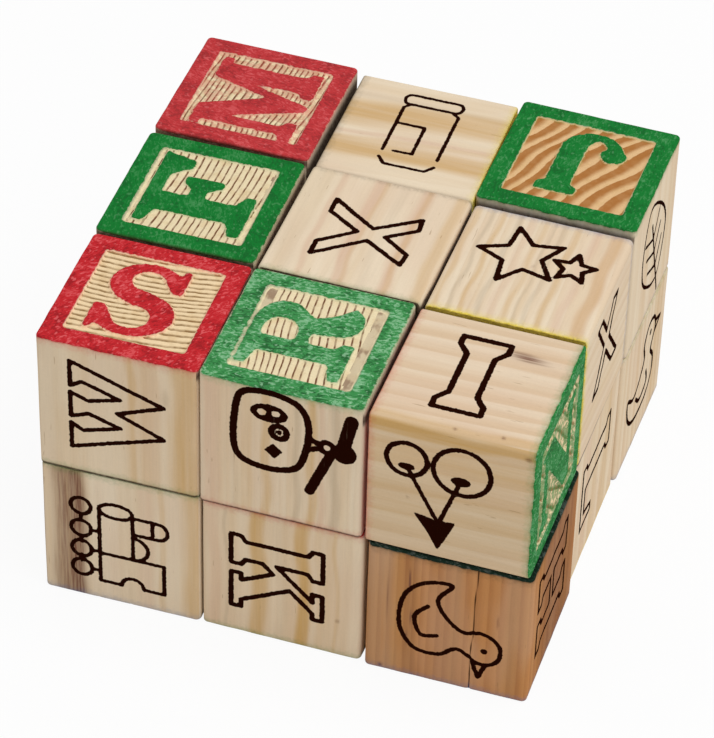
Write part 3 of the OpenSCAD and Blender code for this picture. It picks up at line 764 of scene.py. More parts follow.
class Place:
    """Where a block stands: its middle, its directions a, b and c and its size along them."""

    def __init__(self, name):
        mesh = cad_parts[name].data
        mesh.calc_loop_triangles()
        triangles = np.empty(len(mesh.loop_triangles) * 3, np.int64)
        mesh.loop_triangles.foreach_get("vertices", triangles)
        corners = np.empty(len(mesh.vertices) * 3)
        mesh.vertices.foreach_get("co", corners)
        self.triangles = triangles.reshape(-1, 3)
        corners = corners.reshape(-1, 3) / MM
        turn = self.turn_of(corners[self.triangles])
        c, s = math.cos(turn), math.sin(turn)
        spin = np.array([[c, s, 0], [-s, c, 0], [0, 0, 1]])
        self.axes = np.array(GRAIN_AXES[BLOCKS[name].grain], float) @ spin
        local = corners @ self.axes.T
        low, high = local.min(0), local.max(0)
        self.size = high - low
        self.middle = (low + high) / 2
        self.local = local - self.middle

    @staticmethod
    def turn_of(triangles):
        """Angle about Z: the mean direction of the faces that look to the right."""
        area = np.cross(triangles[:, 1] - triangles[:, 0], triangles[:, 2] - triangles[:, 0])
        facing = area[area[:, 0] > 0.99 * np.linalg.norm(area, axis=1)].sum(0)
        return math.atan2(facing[1], facing[0])

    def outline(self, end):
        """Segments round the raised shapes on the end at +1 or -1, as seen from outside: the
        edges that only one triangle of the end plane has, without the block's own rim."""
        flat = np.abs(self.local[:, 2] - end * self.size[2] / 2) < SAME_PLANE
        chosen = self.triangles[flat[self.triangles].all(1)]
        micron = np.rint(self.local[:, :2] * (end, 1) / MM).astype(np.int64) + PLACE_BASE // 2
        key = micron[:, 0] * PLACE_BASE + micron[:, 1]
        edges = np.sort(key[chosen[:, [0, 1, 1, 2, 2, 0]]].reshape(-1, 2), axis=1)
        edges, times = np.unique(edges, axis=0, return_counts=True)
        edges = edges[times == 1]
        places = np.stack([edges // PLACE_BASE, edges % PLACE_BASE], -1)
        points = (places - PLACE_BASE // 2) * MM
        return points[np.abs(points).max((1, 2)) < CARVING_REACH * self.size[:2].min()]

    def to_frame(self, points):
        """Metres in the shared frame, of points along a, b and c from the middle."""
        return (points + self.middle) @ self.axes * MM


def carved_letters():
    """Outline of each letter of the alphabet, upright and centred, in letter heights."""
    letters = {}
    for name, block in BLOCKS.items():
        place = Place(name)
        for letter, turn, end in zip(block.letters, block.turns, (1, -1)):
            outline = place.outline(end)
            inner = outline[np.abs(outline).max((1, 2)) < np.abs(outline).max() - LETTER_INSET]
            upright = Stroke(inner).placed(-turn, (0, 0), 1).segments
            middle = (upright.max((0, 1)) + upright.min((0, 1))) / 2
            height = np.ptp(upright[..., 1])
            letters[letter] = (upright - middle) / height
    return letters


# The mesh

# Rows of the grid in a rounded corner and in the bevel round an end
CORNER_CELLS = 4
BEVEL_ROWS = 4
# In edges: the height of a printed letter. In millimetres: how much further paint runs over an
# arched edge, and how wide the painted shade round a rim is. The mark of cut ground without ridges.
LETTER_SHARE = 0.6
ARCH = 0.5
RIM_SHADE_WIDTH = 1.6
CALM = 0.4
# Lengths in millimetres of the waves in the growth rings, in the raised edges, coarse and fine,
# in the border of the calm ground, in the ground itself, in the raised faces, in the sides, and
# in the paint that runs over an edge. The height of the waves in the ground.
RING_WAVE = 16
EDGE_WAVES = (1.6, 0.8)
CALM_WAVE = 3
GROUND_WAVE = 2.5
FACE_WAVE = 1.2
SIDE_WAVE = 5
ROLL_WAVE = 2.5
GROUND_UNEVEN = 0.05
# In rings: how far a growth ring drifts. How much the width of the rings swells, and over how
# many of them.
RING_DRIFT = 0.25
RING_SWELL = 0.3
SWELL_LENGTH = 2.3
# Share of a cell of the layout that stays free round its face
LAYOUT_MARGIN = 0.01


def grid_shares(cells):
    """Two shares for each line of the grid across a face: how far it lies along the flat part,
    from -1 to 1, and how far into the corner, from -1 to 1, where it is past the flat part."""
    flat = np.linspace(-1, 1, cells + 1)
    corner = np.arange(1, CORNER_CELLS + 1) / CORNER_CELLS
    core = np.concatenate([-np.ones(CORNER_CELLS), flat, np.ones(CORNER_CELLS)])
    past = np.concatenate([-corner[::-1], np.zeros(cells + 1), corner])
    return core, past


def rounded(core, past, half, radius):
    """Points of a rounded rectangle from pairs of shares. A corner's square of shares is
    pulled onto its quarter disc: each point keeps its direction, at its larger share."""
    reach = np.hypot(*np.moveaxis(past, -1, 0))
    pull = np.abs(past).max(-1) / np.where(reach == 0, 1, reach)
    return core * (half - radius) + past * pull[..., None] * radius


def soften(field):
    """Evens out a field on a grid, twice, with weights 1, 2, 1 along both directions."""
    for _ in range(2):
        for axis in (0, 1):
            wide = np.pad(field, [(1, 1) if i == axis else (0, 0) for i in (0, 1)], mode="edge")
            low, high = np.delete(wide, [-1, -2], axis), np.delete(wide, [0, 1], axis)
            field = (low + 2 * field + high) / 4
    return field


def ring_phase(points, block, edge, seed):
    """Number of growth rings from the heart of the tree to each point: the distance from the
    heart's line over the ring width, with slow waves that make some rings wider."""
    away = points[:, :2] - np.array(block.heart) * edge - points[:, 2:] * np.array(block.lean)
    drift = waves(points * (1, 1, 0.12), RING_WAVE, seed) * RING_DRIFT * block.ring
    radius = np.hypot(away[:, 0], away[:, 1]) + drift
    return radius / block.ring + RING_SWELL * np.sin(radius / (SWELL_LENGTH * block.ring) + seed)


def ridge_profile(phase, late):
    """Height from 0 to 1 across a ring: it climbs over the early wood and drops into a furrow
    where the late wood begins."""
    share = phase % 1
    return np.where(share < late, np.sin(np.clip(share / late, 0, 1) * math.pi) ** 0.6, 0)


def ink_distance(spots, strokes, line):
    """Distance outside the printed lines and patches, negative in the ink."""
    found = np.full(len(spots), FAR)
    for stroke in strokes:
        if stroke.filled:
            distance = distance_to(spots, stroke.segments)
            distance[inside(spots, stroke.segments)] *= -1
        else:
            distance = distance_to(spots, stroke.segments) - line / 2 * stroke.width
        found = np.minimum(found, distance)
    return found


def print_strokes(printed, edge, letters):
    """Strokes of a picture or of a letter's outline, in millimetres on a side."""
    if printed.name in PICTURES:
        drawn = PICTURES[printed.name]()
    else:
        drawn = [Stroke(letters[printed.name] * LETTER_SHARE)]
    weight = printed.weight * LINE_WEIGHTS.get(printed.name, 1.0)
    shift = np.array(printed.shift) / printed.size
    placed = [stroke.placed(printed.turn, shift, edge * printed.size) for stroke in drawn]
    for stroke in placed:
        stroke.width *= weight
    return placed


def seed_of(name):
    """A number for each block, which starts its random draws."""
    return list(BLOCKS).index(name) + 1


def corners_of(grid, axis):
    """The four corners of each cell of a grid, counter-clockwise, along a new axis."""
    return np.stack([grid[:-1, :-1], grid[1:, :-1], grid[1:, 1:], grid[:-1, 1:]], axis)


def in_cell(cell, corners):
    """Corners from the unit square brought into a cell, by column and row, of the layout."""
    return (cell + LAYOUT_MARGIN + corners * (1 - 2 * LAYOUT_MARGIN)) / (2, 3)


class BlockShape:
    """The points of a block and what each point carries for the finish. An end is a grid of n by
    n points, with m points round its rim."""

    def __init__(self, name, sizes, letters):
        self.block = BLOCKS[name]
        self.place = Place(name)
        self.seed = seed_of(name)
        self.letters = letters
        self.size = self.place.size
        self.edge = self.size[2]
        for size in sizes.__annotations__:
            setattr(self, size, getattr(sizes, size) / MM)
        self.make_grid()
        self.make_ends()
        self.make_sides()
        self.points = np.concatenate([self.ends[1][0], self.ends[-1][0], self.side_points])
        self.marks = np.concatenate([self.ends[1][1], self.ends[-1][1], self.side_marks])
        self.timber, self.tones = self.timber_marks()

    def make_grid(self):
        """Shares across a face, and the rim of the grid in order, counter-clockwise."""
        cells = round((self.size[:2].mean() - 2 * self.long_round) / self.cell)
        self.core, self.past = grid_shares(cells)
        n = len(self.core)
        step, last = np.arange(n - 1), n - 1
        self.n = n
        self.rim_i = np.concatenate([step, np.full(last, last), last - step, np.zeros(last, int)])
        self.rim_j = np.concatenate([np.zeros(last, int), step, np.full(last, last), last - step])

    def rim(self, inset):
        """Outline across the grain, drawn in by an inset."""
        core = np.stack([self.core[self.rim_i], self.core[self.rim_j]], -1)
        past = np.stack([self.past[self.rim_i], self.past[self.rim_j]], -1)
        return rounded(core, past, self.size[:2] / 2 - inset, self.long_round - inset)

    def make_ends(self):
        """Both end faces, a height above the ground for each point of the grid."""
        core = np.stack(np.meshgrid(self.core, self.core, indexing="ij"), -1)
        past = np.stack(np.meshgrid(self.past, self.past, indexing="ij"), -1)
        flat = rounded(core, past, self.size[:2] / 2 - self.bevel, self.long_round - self.bevel)
        self.ends = {end: self.carved_end(flat, end) for end in (1, -1)}

    def raised_field(self, seen, outline, seed):
        """Distance inside the raised shapes of an end, negative over the ground. Waves make
        their edges ragged."""
        field = distance_to(seen, outline)
        field[inside(seen, outline)] *= -1
        field = soften(field.reshape(self.n, self.n)).ravel()
        coarse, fine = EDGE_WAVES
        return field + self.ragged * (waves(seen, coarse, seed) + 0.6 * waves(seen, fine, seed + 1))

    def carved_end(self, flat, end):
        """Points and marks of one end. The raised shapes end where their distance field is
        zero. Below that the wall slopes down to the ground, which has the rings as ridges."""
        seed = self.seed * 10 + end
        which = 0 if end > 0 else 1
        seen = flat.reshape(-1, 2) * (end, 1)
        outline = self.place.outline(end)
        field = self.raised_field(seen, outline, seed)
        share = np.clip(1 + field / self.wall, 0, 1)
        raised = share * share * (3 - 2 * share)
        at = np.column_stack([flat.reshape(-1, 2), np.full(len(seen), end * self.size[2] / 2)])
        panel = np.abs(outline[..., 0]).max()
        margin = self.block.calm + 0.1 * waves(seen[:, 1:], CALM_WAVE, seed + 4)
        ridged = np.where(np.abs(seen[:, 0]) > panel - margin, CALM, 1.0)
        phase = ring_phase(at, self.block, self.edge, self.seed)
        floor = self.ridge * ridged * ridge_profile(phase, self.block.late[1])
        floor += GROUND_UNEVEN * waves(seen, GROUND_WAVE, seed + 2)
        depth = (1 - raised) * (self.depth - floor)
        depth += raised * self.dent * (1 + waves(seen, FACE_WAVE, seed + 3))
        at[:, 2] -= end * np.maximum(depth, 0)
        open_ground = np.clip(0.3 - field / self.wall, 0, 1)
        rim = (self.size[:2] / 2 - self.bevel - np.abs(flat.reshape(-1, 2))).min(1)
        paint = np.minimum(field, rim + self.paint_roll * self.block.roll[which])
        # Painted shade round the rim of an end, where it meets a neighbour in the gap
        dirt = self.block.rim_shade[which] * np.clip(RIM_SHADE_WIDTH - rim, 0, 1)
        marks = np.column_stack([paint, np.full(len(seen), FAR), open_ground * ridged - dirt])
        return at, marks

    def make_sides(self):
        """Rows of the outline from one end to the other. Near an end they are drawn in along
        a quarter circle, which makes the bevel."""
        half = self.size[2] / 2
        turn = np.linspace(0, math.pi / 2, BEVEL_ROWS + 1)[1:]
        inset = self.bevel * (1 - np.sin(turn))
        drop = self.bevel * (1 - np.cos(turn))
        rows = round(2 * (half - self.bevel) / self.cell)
        middle = np.linspace(half - self.bevel, self.bevel - half, rows + 1)[1:-1]
        heights = np.concatenate([half - drop, middle, (drop - half)[::-1]])
        insets = np.concatenate([inset, np.zeros(rows - 1), inset[::-1]])
        outer, inner = self.rim(0.0), self.rim(self.bevel)
        out = (outer - inner) / self.bevel
        across = outer[None] - insets[:, None, None] * out[None]
        self.rows, self.m = len(heights), len(outer)
        levels = np.broadcast_to(heights[:, None, None], (self.rows, self.m, 1))
        points = np.concatenate([across, levels], 2).reshape(-1, 3)
        self.side_marks = self.printed(points)
        self.splits = self.split_distance(points)
        dents = self.dent * (1 + waves(points * (1, 1, 0.3), SIDE_WAVE, self.seed))
        dents += self.split * np.exp(-(self.splits / self.split) ** 2)
        points[:, :2] -= np.tile(out, (self.rows, 1)) * np.maximum(dents, 0)[:, None]
        self.side_points = points

    def spots_on(self, points, side):
        """Which points lie on a side, and where they are on it, to the right and up, and then
        across and along the grain in shares of the edge."""
        right, up = (np.array(GRAIN_AXES[self.block.grain]) @ np.array(v) for v in VIEWS[side])
        scaled = points / self.size
        on = (scaled @ np.cross(right, up)) >= np.abs(scaled[:, :2]).max(1) - 1e-9
        spots = np.column_stack([points @ right, points @ up])
        by_grain = spots[:, ::-1] if abs(up[2]) < 0.5 else spots
        return on, spots, by_grain.T / self.edge

    def cover(self, points, tint):
        """How much of one tint all the bands together give each point."""
        total = np.zeros(len(points))
        for side, band in self.block.bands:
            if band.tint == tint:
                on, _, (across, along) = self.spots_on(points, side)
                total += np.where(on, band.cover(across, along, self.seed), 0)
        return total

    def printed(self, points):
        """Marks of the sides: paint that runs over the ends' edges, the printed lines, and painted
        shade in the gaps as negative ground."""
        end_gap = self.size[2] / 2 - np.abs(points[:, 2])
        upper = points[:, 2] > 0
        shares = np.where(upper, *self.block.roll)
        roll = self.paint_roll * shares * (1 + 0.25 * waves(points, ROLL_WAVE, self.seed + 7))
        for side in self.block.arched:
            on, spots, _ = self.spots_on(points, side)
            arch = np.sqrt(np.clip(1 - (2 * spots[:, 0] / self.edge) ** 2, 0, 1))
            roll += np.where(on & upper, ARCH * arch, 0)
        ink = np.full(len(points), FAR)
        for side, printed in self.block.prints.items():
            on, spots, _ = self.spots_on(points, side)
            strokes = print_strokes(printed, self.edge, self.letters)
            ink[on] = np.clip(ink_distance(spots[on], strokes, self.line), -FAR, FAR)
        return np.column_stack([roll - end_gap, ink, -self.cover(points, "dirt")])

    def split_distance(self, points):
        """Distance from the nearest split. A faint split counts as further away."""
        found = np.full(len(points), FAR)
        for side, band in self.block.bands:
            if band.tint == "split":
                on, _, (across, along) = self.spots_on(points, side)
                off = np.abs(band.off(across, along, self.seed)) * self.edge
                off += (1 - band.strength) * self.split
                found = np.where(on, np.minimum(found, off), found)
        return found

    def timber_marks(self):
        """The ring number with the warm and brown tints, and the pink and grey tints with the
        distance from a split."""
        phase = ring_phase(self.points, self.block, self.edge, self.seed)
        first = 2 * self.n**2
        ends = np.zeros(first)
        warm, brown, pink, grey = (
            np.concatenate([ends, self.cover(self.points[first:], tint)])
            for tint in ("warm", "brown", "pink", "grey"))
        splits = np.concatenate([ends + FAR, self.splits])
        return np.column_stack([phase, warm, brown]), np.column_stack([pink, grey, splits])

    def faces(self):
        """The four points of every face, the ends first and then the rows of the sides."""
        n, m = self.n, self.m
        grid = np.arange(n * n).reshape(n, n)
        upper = corners_of(grid, -1).reshape(-1, 4)
        lower = upper[:, ::-1] + n * n
        rim = self.rim_i * n + self.rim_j
        rows = 2 * n * n + np.arange(self.rows * m).reshape(self.rows, m)
        rows = np.concatenate([rim[None], rows, rim[None] + n * n])
        ahead = np.roll(rows, -1, axis=1)
        sides = np.stack([rows[1:], ahead[1:], ahead[:-1], rows[:-1]], -1).reshape(-1, 4)
        return np.concatenate([upper, lower, sides])

    def layout(self):
        """Place of each face corner on the unit square: two columns and three rows of cells,
        the ends in the lowest row and the four sides above them."""
        n, m = self.n, self.m
        step = np.linspace(0, 1, n)
        at = np.stack(np.meshgrid(step, step, indexing="ij"), -1)
        upper = corners_of(at, 2).reshape(-1, 4, 2)
        ends = [in_cell(np.array((column, 0)), corners)
                for column, corners in enumerate((upper, upper[:, ::-1]))]
        along = np.linspace(1, 0, self.rows + 2)
        left, face = np.arange(m) % (n - 1) / (n - 1), np.arange(m) // (n - 1)
        right = left + 1 / (n - 1)
        high, low = along[:-1, None] + 0 * left, along[1:, None] + 0 * left
        left, right = left + 0 * high, right + 0 * high
        quads = np.stack([np.stack([left, low], -1), np.stack([right, low], -1),
                          np.stack([right, high], -1), np.stack([left, high], -1)], 2)
        cell = np.stack([face % 2, 1 + face // 2], -1)[None, :, None, :]
        return np.concatenate([*ends, in_cell(cell, quads).reshape(-1, 4, 2)])


def add_object(name, data):
    """An object in the scene that holds a mesh, a lamp or a camera."""
    made = bpy.data.objects.new(name, data)
    bpy.context.scene.collection.objects.link(made)
    return made


def add_mesh(name, points, faces, layout, fields):
    """A mesh object from arrays, with smooth faces, one UV map and vector fields."""
    mesh = bpy.data.meshes.new(name)
    mesh.vertices.add(len(points))
    mesh.vertices.foreach_set("co", points.ravel())
    mesh.loops.add(faces.size)
    mesh.loops.foreach_set("vertex_index", faces.ravel().astype(np.int32))
    mesh.polygons.add(len(faces))
    mesh.polygons.foreach_set("loop_start", np.arange(0, faces.size, 4, dtype=np.int32))
    mesh.polygons.foreach_set("use_smooth", np.ones(len(faces), bool))
    mesh.update(calc_edges=True)
    mesh.uv_layers.new(name="OFBake").data.foreach_set("uv", layout.ravel())
    for field, values in fields.items():
        attribute = mesh.attributes.new(field, "FLOAT_VECTOR", "POINT")
        attribute.data.foreach_set("vector", values.ravel())
    if mesh.validate():
        raise RuntimeError(f"the mesh of {name} had to be repaired")
    return add_object(name, mesh)


# The finish


class Wire:
    """A value, colour or vector in a finish. A sum on it adds Math nodes, or Vector Math nodes
    where either side is a vector."""

    def __init__(self, finish, socket):
        self.finish = finish
        self.socket = socket

    def sum(self, operation, first, second=None):
        """The node of one operation on one or two values."""
        pair = [first] if second is None else [first, second]
        vector = any(
            x.socket.type in ("VECTOR", "RGBA") if isinstance(x, Wire) else isinstance(x, tuple)
            for x in pair)
        kind = "ShaderNodeVectorMath" if vector else "ShaderNodeMath"
        return self.finish.node(kind, {"operation": operation}, dict(enumerate(pair)))

    def __add__(self, other):
        return self.sum("ADD", self, other)

    def __sub__(self, other):
        return self.sum("SUBTRACT", self, other)

    def __rsub__(self, other):
        return self.sum("SUBTRACT", other, self)

    def __mul__(self, other):
        return self.sum("MULTIPLY", self, other)

    __radd__ = __add__
    __rmul__ = __mul__

    def fraction(self):
        """What is past the whole number below."""
        return self.sum("FRACT", self)

    def rise(self, low, high):
        """0 below low and 1 above high, with a smooth step between."""
        return self.finish.node("ShaderNodeMapRange", {"interpolation_type": "SMOOTHSTEP"},
                                {"Value": self, "From Min": low, "From Max": high})


class Finish:
    """A material or a world, and the one way to add a node to it."""

    def __init__(self, material):
        self.material = material
        self.material.use_nodes = True
        self.tree = self.material.node_tree
        self.tree.nodes.clear()

    def node(self, kind, settings, inputs, output=0):
        """A node with its settings, and its sockets set to values or linked to wires."""
        node = self.tree.nodes.new(kind)
        for key, value in settings.items():
            setattr(node, key, value)
        for key, value in inputs.items():
            socket = node.inputs[key]
            if isinstance(value, Wire):
                self.tree.links.new(value.socket, socket)
            elif socket.type in ("VECTOR", "RGBA") and not isinstance(value, tuple):
                socket.default_value = (value,) * 3 + ((1,) if socket.type == "RGBA" else ())
            elif socket.type == "RGBA":
                socket.default_value = (*value, 1)[:4]
            else:
                socket.default_value = value
        return Wire(self, node.outputs[output]) if len(node.outputs) else None

    def attribute(self, name):
        """A vector that each point of the mesh carries."""
        return self.node("ShaderNodeAttribute", {"attribute_name": name}, {}, "Vector")

    def parts(self, vector):
        """The three numbers of a vector."""
        whole = self.node("ShaderNodeSeparateXYZ", {}, {"Vector": vector})
        return [Wire(self, output) for output in whole.socket.node.outputs]

    def camera_ray(self):
        """1 for what the camera sees directly, and 0 for reflected and scattered light."""
        return self.node("ShaderNodeLightPath", {}, {}, "Is Camera Ray")

    def noise(self, place, scale, detail=2.0, roughness=0.5, twist=0.0):
        """Noise from 0 to 1 with its mean near a half."""
        return self.node("ShaderNodeTexNoise", {}, {
            "Vector": place, "Scale": scale, "Detail": detail, "Roughness": roughness,
            "Distortion": twist})

    def mix(self, share, first, second):
        """From the first colour to the second."""
        return self.node("ShaderNodeMix", {"data_type": "RGBA"}, {0: share, 6: first, 7: second}, 2)


# Where each block's noise begins, for every step of its seed
NOISE_START = (7.3, 3.1, 5.7)
# How much of the grain's noise is left along the grain
ALONG_GRAIN = 0.04
# Height of the fibres and of the paint's texture
RELIEF = 0.12 * MM


def timber_colour(finish, block, colours, grain, own, fibres, grit, fresh):
    """Wood of the sides and of the ends: soft bands and rings, with the stripes and splits."""
    phase, warm, brown = finish.parts(finish.attribute("timber"))
    pink, grey, split = finish.parts(finish.attribute("tones"))
    strands = finish.noise(grain, scale=0.8, detail=2)
    bands = finish.noise(grain, scale=0.3, detail=1)
    clouds = finish.noise(own * (1, 1, 0.3), scale=0.12, detail=2)
    share = (phase + (strands - 0.5) * (0.3 - fresh * 0.18)).fraction()
    late = share.rise(0.1, 0.85) * (1 - share.rise(0.88, 1.0))
    wood = finish.mix(late * block.contrast, colours[block.timber], colours[f"{block.timber}_ring"])
    wood = finish.mix(bands.rise(0.45, 0.75) * 0.2, wood, colours["warm"])
    wood = finish.mix(clouds.rise(0.4, 0.7) * 0.25, wood, colours["pink"])
    for tint, cover in (("pink", pink), ("grey", grey), ("warm", warm)):
        wood = finish.mix(cover * (strands * 0.8 + 0.3), wood, colours[tint])
    wood = finish.mix(brown * (fibres.rise(0.35, 0.7) * 0.4 + 0.55), wood, colours["brown"])
    fleck = finish.noise(own * (1, 1, 0.1), scale=2.6, detail=1).rise(0.74, 0.8)
    wood = finish.mix(fleck * 0.4, wood * (fibres * 0.12 + grit * 0.08 + 0.9), colours["furrow"])
    cleft = 1 - split.rise(0.08, 0.2)
    return finish.mix(cleft * 0.85, wood, colours["ink"]), share, late


def ground_colour(finish, block, colours, share, fibres, own):
    """Fresh wood of the cut ground, with a line where the late wood of each ring begins, which
    fades here and there."""
    start, end = block.late
    furrow = share.rise(start, end) * (1 - share.rise(0.94, 1.0))
    blotch = finish.noise(own, scale=0.35, detail=2)
    cut = finish.mix(blotch.rise(0.45, 0.7) * 0.3, colours[block.cut], colours["warm"])
    fading = finish.noise(own, scale=0.55, detail=2).rise(0.35, 0.6)
    least = 0.55 if block.ring < 1.5 else 0.85
    return cut * (fibres * 0.3 + 0.85), furrow * (fading * (0.95 - least) + least)


def toned(colour, factor, lift=0.0):
    """A colour made stronger or weaker, with plain white added."""
    return tuple(c * factor + lift for c in colour)


def paint_colour(finish, block, colours, end, own, mottle, brush):
    """Paint of one end: darker where it lies thick and lighter where it is thin, in clouds and
    strokes, with bright specks that are partly pale worn spots and partly painted highlights of
    the paint's sheen. Paint that is more worn is paler, with more contrast."""
    coat = colours[block.paints[end]]
    speckle = block.speckle[end]
    worn = max(0, speckle - 0.3)
    middle = toned(coat, 1 + 0.2 * worn, 0.035 * worn)
    dark = toned(coat, 0.7 - 0.1 * worn, 0.004 + 0.015 * worn)
    light = toned(middle, 1.15, 0.035 + 0.1 * worn)
    speck_and_glint = toned(light, 1.1, 0.07 + 0.02 * worn)
    brushed = finish.node("ShaderNodeVectorRotate", {"rotation_type": "Z_AXIS"},
                          {"Vector": own, "Angle": 0.7 * brush})
    strokes = finish.noise(brushed * (1, 0.4, 1), scale=1.2, detail=3, roughness=0.65, twist=2.0)
    clouds = finish.noise(own, scale=0.22, detail=2)
    thin = strokes * 0.55 + mottle * 0.1 + clouds * 0.35
    # Bright specks: partly pale worn paint and partly painted highlights of the paint's sheen
    specks_and_glints = finish.noise(brushed * (1, 0.6, 1), scale=1.7, detail=1)
    colour = finish.mix(thin.rise(0.42, 0.49), dark, middle)
    colour = finish.mix(thin.rise(0.53, 0.6 - 0.03 * worn), colour, light)
    return finish.mix(specks_and_glints.rise(0.6, 0.68) * min(0.6, 0.15 + 0.75 * speckle), colour, speck_and_glint)


def block_finish(name, colours):
    """Timber with painted ends and printed sides. Paint lies where its distance is positive and
    ink where its distance is negative, both with a torn edge from fine noise."""
    block = BLOCKS[name]
    seed = seed_of(name)
    finish = Finish(bpy.data.materials.new(
        f"{block.timber} with {block.paints[0]} and {block.paints[1]} ends {seed}"))
    place = finish.attribute("place")
    paint, ink, ground = finish.parts(finish.attribute("marks"))
    own = place + toned(NOISE_START, seed)
    grain = own * (1, 1, ALONG_GRAIN)
    upper = finish.parts(place)[2].rise(-1, 1)
    fibres = finish.noise(grain, scale=3.0, detail=3, roughness=0.6)
    grit = finish.noise(own, scale=2.6, detail=2, roughness=0.6)
    mottle = finish.noise(own, scale=0.8, detail=3, roughness=0.6)
    coarse = finish.noise(own, scale=1.5, detail=2)

    fresh = ground.rise(0.02, 0.45)
    wood, share, late = timber_colour(finish, block, colours, grain, own, fibres, grit, fresh)
    cut, furrow = ground_colour(finish, block, colours, share, fibres, own)
    wood = finish.mix(fresh, wood, cut)
    wood = finish.mix(furrow * ground.rise(0.45, 0.7), wood, colours[block.furrow])
    calm = fresh * (1 - ground.rise(0.42, 0.6)) * (1 - paint.rise(-0.5, -0.3))
    rough = finish.noise(own * (1, 0.6, 1), scale=0.3, detail=3).rise(0.48, 0.58)
    wood = finish.mix(calm * 0.55, wood, colours["grey"])
    wood = finish.mix(calm * rough * 0.65, wood, colours["brown"])
    # Painted highlight: bare wood on the walls right beside the paint is lightened, as if the walls caught
    # the light
    wood = wood * (paint.rise(-0.36, -0.1) * fresh * 0.2 + 1)

    top, under = (paint_colour(finish, block, colours, end, own, mottle, seed + end)
                  for end in (0, 1))
    coat = finish.mix(upper, under, top)
    torn = (coarse - 0.5) * 0.3 + (grit - 0.5) * 0.2
    painted = (paint + torn - 0.08).rise(-0.07, 0.07)
    veil = (paint + torn).rise(-0.34, -0.04) * 0.3
    if block.wear:
        spread = mottle.rise(0.4, 0.52) * block.wear * fresh * upper
        painted = painted + spread * (1 - painted)
    stain = (paint + (coarse - 0.5) * 1.8).rise(-1.8, 0.3) * (1 - fresh) * 0.3
    surface = finish.mix(painted, finish.mix(veil + stain * (1 - veil), wood, coat), coat)

    soaked = ink + (coarse - 0.5) * 0.34 + (grit - 0.5) * 0.2
    printed = (1 - soaked.rise(-0.06, 0.06)) * (1 - fibres.rise(0.68, 0.8) * 0.25)
    surface = finish.mix(printed, surface, colours["ink"])

    # Painted shade: dark brown over the gaps between blocks and round the ends' rims, where the neighbours'
    # shadow falls
    shade_colour = toned(colours["brown"], 0.3)
    surface = finish.mix((0 - ground).rise(0, 1) * (coarse * 0.5 + 0.6), surface, shade_colour)

    relief = fibres * 0.4 + late * 0.3 + painted * (grit + mottle) * 0.8
    bump = finish.node("ShaderNodeBump", {}, {
        "Strength": 0.6, "Distance": RELIEF, "Height": relief})
    shader = finish.node("ShaderNodeBsdfPrincipled", {}, {
        "Base Color": surface, "Normal": bump, "Specular IOR Level": 0.0,
        "Coat Weight": painted * 0.1, "Coat Roughness": 0.35,
        "Roughness": 0.62 - painted * 0.17 - printed * 0.05})
    finish.node("ShaderNodeOutputMaterial", {}, {"Surface": shader})
    return finish.material


def colour_table(colours):
    """The colours by name."""
    return {name: tuple(getattr(colours, name)) for name in BlockColours.__annotations__}


def add_blocks(names, scene):
    """Each block in place of its CAD solid."""
    letters = carved_letters()
    colours = colour_table(scene.alphabet_colours)
    for name in names:
        shape = BlockShape(name, scene.alphabet_sizes, letters)
        fields = {"place": shape.points, "marks": shape.marks, "timber": shape.timber,
                  "tones": shape.tones}
        made = add_mesh(name.replace("block", "wooden_block"), shape.place.to_frame(shape.points),
                        shape.faces(), shape.layout(), fields)
        made.data.materials.append(block_finish(name, colours))
        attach(made, name)
        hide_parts(name)


class ALPHABET_OT_top_layer(bpy.types.Operator):
    """Add the nine blocks of the top layer"""

    bl_idname = "alphabet.top_layer"
    bl_label = "Top Layer"

    def execute(self, context):
        add_blocks(TOP_LAYER, context.scene)
        return {"FINISHED"}


class ALPHABET_OT_bottom_layer(bpy.types.Operator):
    """Add the nine blocks of the bottom layer"""

    bl_idname = "alphabet.bottom_layer"
    bl_label = "Bottom Layer"

    def execute(self, context):
        add_blocks(BOTTOM_LAYER, context.scene)
        return {"FINISHED"}


# The stage


def add_camera(stage):
    """A long lens on the target, turned about its line of sight."""
    a, e, r = stage.azimuth, stage.elevation, stage.roll
    back = Vector((math.sin(a) * math.cos(e), -math.cos(a) * math.cos(e), math.sin(e)))
    right = (-back).cross(Vector((0, 0, 1))).normalized()
    up = right.cross(-back)
    turned_right = right * math.cos(r) + up * math.sin(r)
    turned_up = up * math.cos(r) - right * math.sin(r)
    data = bpy.data.cameras.new("Camera")
    data.sensor_fit = "HORIZONTAL"
    data.sensor_width = 36
    data.lens = stage.lens
    camera = add_object("Camera", data)
    turn = Matrix((turned_right, turned_up, back)).transposed().to_4x4()
    camera.matrix_world = Matrix.Translation(Vector(stage.target) + back * stage.distance) @ turn
    bpy.context.scene.camera = camera


def add_lamp(stage):
    """A large soft lamp above the front right."""
    data = bpy.data.lights.new("Softbox", "AREA")
    data.shape = "SQUARE"
    data.size = stage.lamp_size
    data.energy = stage.lamp
    lamp = add_object("Softbox", data)
    lamp.location = stage.lamp_place
    aim = Vector(stage.target) - lamp.location
    lamp.rotation_euler = aim.to_track_quat("-Z", "Y").to_euler()


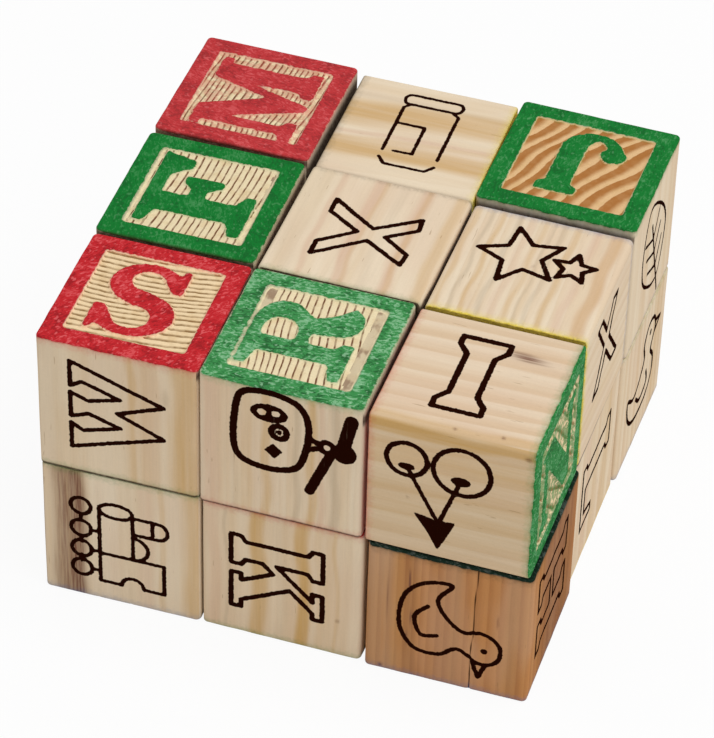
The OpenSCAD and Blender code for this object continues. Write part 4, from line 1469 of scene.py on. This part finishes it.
def add_floor(stage):
    """A pale floor, which the camera sees as white with the stack's soft shadow."""
    finish = Finish(bpy.data.materials.new("white floor"))
    seen = finish.camera_ray()
    diffuse = finish.node("ShaderNodeBsdfDiffuse", {}, {"Color": (0.9, 0.9, 0.9)})
    glow = finish.node("ShaderNodeEmission", {}, {"Color": (1.0, 1.0, 1.0), "Strength": 1.0})
    white = finish.node("ShaderNodeMixShader", {}, {0: seen * stage.floor_glow, 1: diffuse, 2: glow})
    finish.node("ShaderNodeOutputMaterial", {}, {"Surface": white})
    half = stage.floor_half
    corners = [(-half, -half, 0), (half, -half, 0), (half, half, 0), (-half, half, 0)]
    mesh = bpy.data.meshes.new("floor")
    mesh.from_pydata(corners, [], [(0, 1, 2, 3)])
    mesh.materials.append(finish.material)
    add_object("floor", mesh)


def set_world(stage):
    """Even white light from all round, which the camera sees at full white."""
    world = bpy.data.worlds.new("Studio")
    bpy.context.scene.world = world
    finish = Finish(world)
    seen = finish.camera_ray()
    sky = finish.node("ShaderNodeBackground", {}, {"Strength": seen * (1 - stage.sky) + stage.sky})
    finish.node("ShaderNodeOutputWorld", {}, {"Surface": sky})


class ALPHABET_OT_stage(bpy.types.Operator):
    """Add the camera, the lamp, the floor and the light from all round"""

    bl_idname = "alphabet.stage"
    bl_label = "Stage"

    def execute(self, context):
        stage = context.scene.alphabet_stage
        add_camera(stage)
        add_lamp(stage)
        add_floor(stage)
        set_world(stage)
        context.scene.view_settings.view_transform = "Standard"
        return {"FINISHED"}


class ALPHABET_PT_blocks(bpy.types.Panel):
    """Sizes and colours of the blocks, and the buttons that add them"""

    bl_idname = "ALPHABET_PT_blocks"
    bl_label = "Alphabet Blocks"
    bl_space_type = "VIEW_3D"
    bl_region_type = "UI"
    bl_category = "Alphabet Blocks"

    def draw(self, context):
        for group in GROUPS:
            box = self.layout.box()
            settings = getattr(context.scene, group)
            for name in settings.__annotations__:
                box.prop(settings, name)
        for operator in OPERATORS:
            self.layout.operator(operator.bl_idname)


GROUPS = {"alphabet_sizes": BlockSizes, "alphabet_colours": BlockColours,
          "alphabet_stage": StageSettings}
OPERATORS = (ALPHABET_OT_top_layer, ALPHABET_OT_bottom_layer, ALPHABET_OT_stage)
CLASSES = (*GROUPS.values(), *OPERATORS, ALPHABET_PT_blocks)


def register():
    for cls in CLASSES:
        bpy.utils.register_class(cls)
    for name, group in GROUPS.items():
        setattr(bpy.types.Scene, name, bpy.props.PointerProperty(type=group))


def unregister():
    for name in GROUPS:
        delattr(bpy.types.Scene, name)
    for cls in reversed(CLASSES):
        bpy.utils.unregister_class(cls)


def main():
    register()
    bpy.ops.alphabet.top_layer()
    bpy.ops.alphabet.bottom_layer()
    bpy.ops.alphabet.stage()


if __name__ == "__main__":
    main()
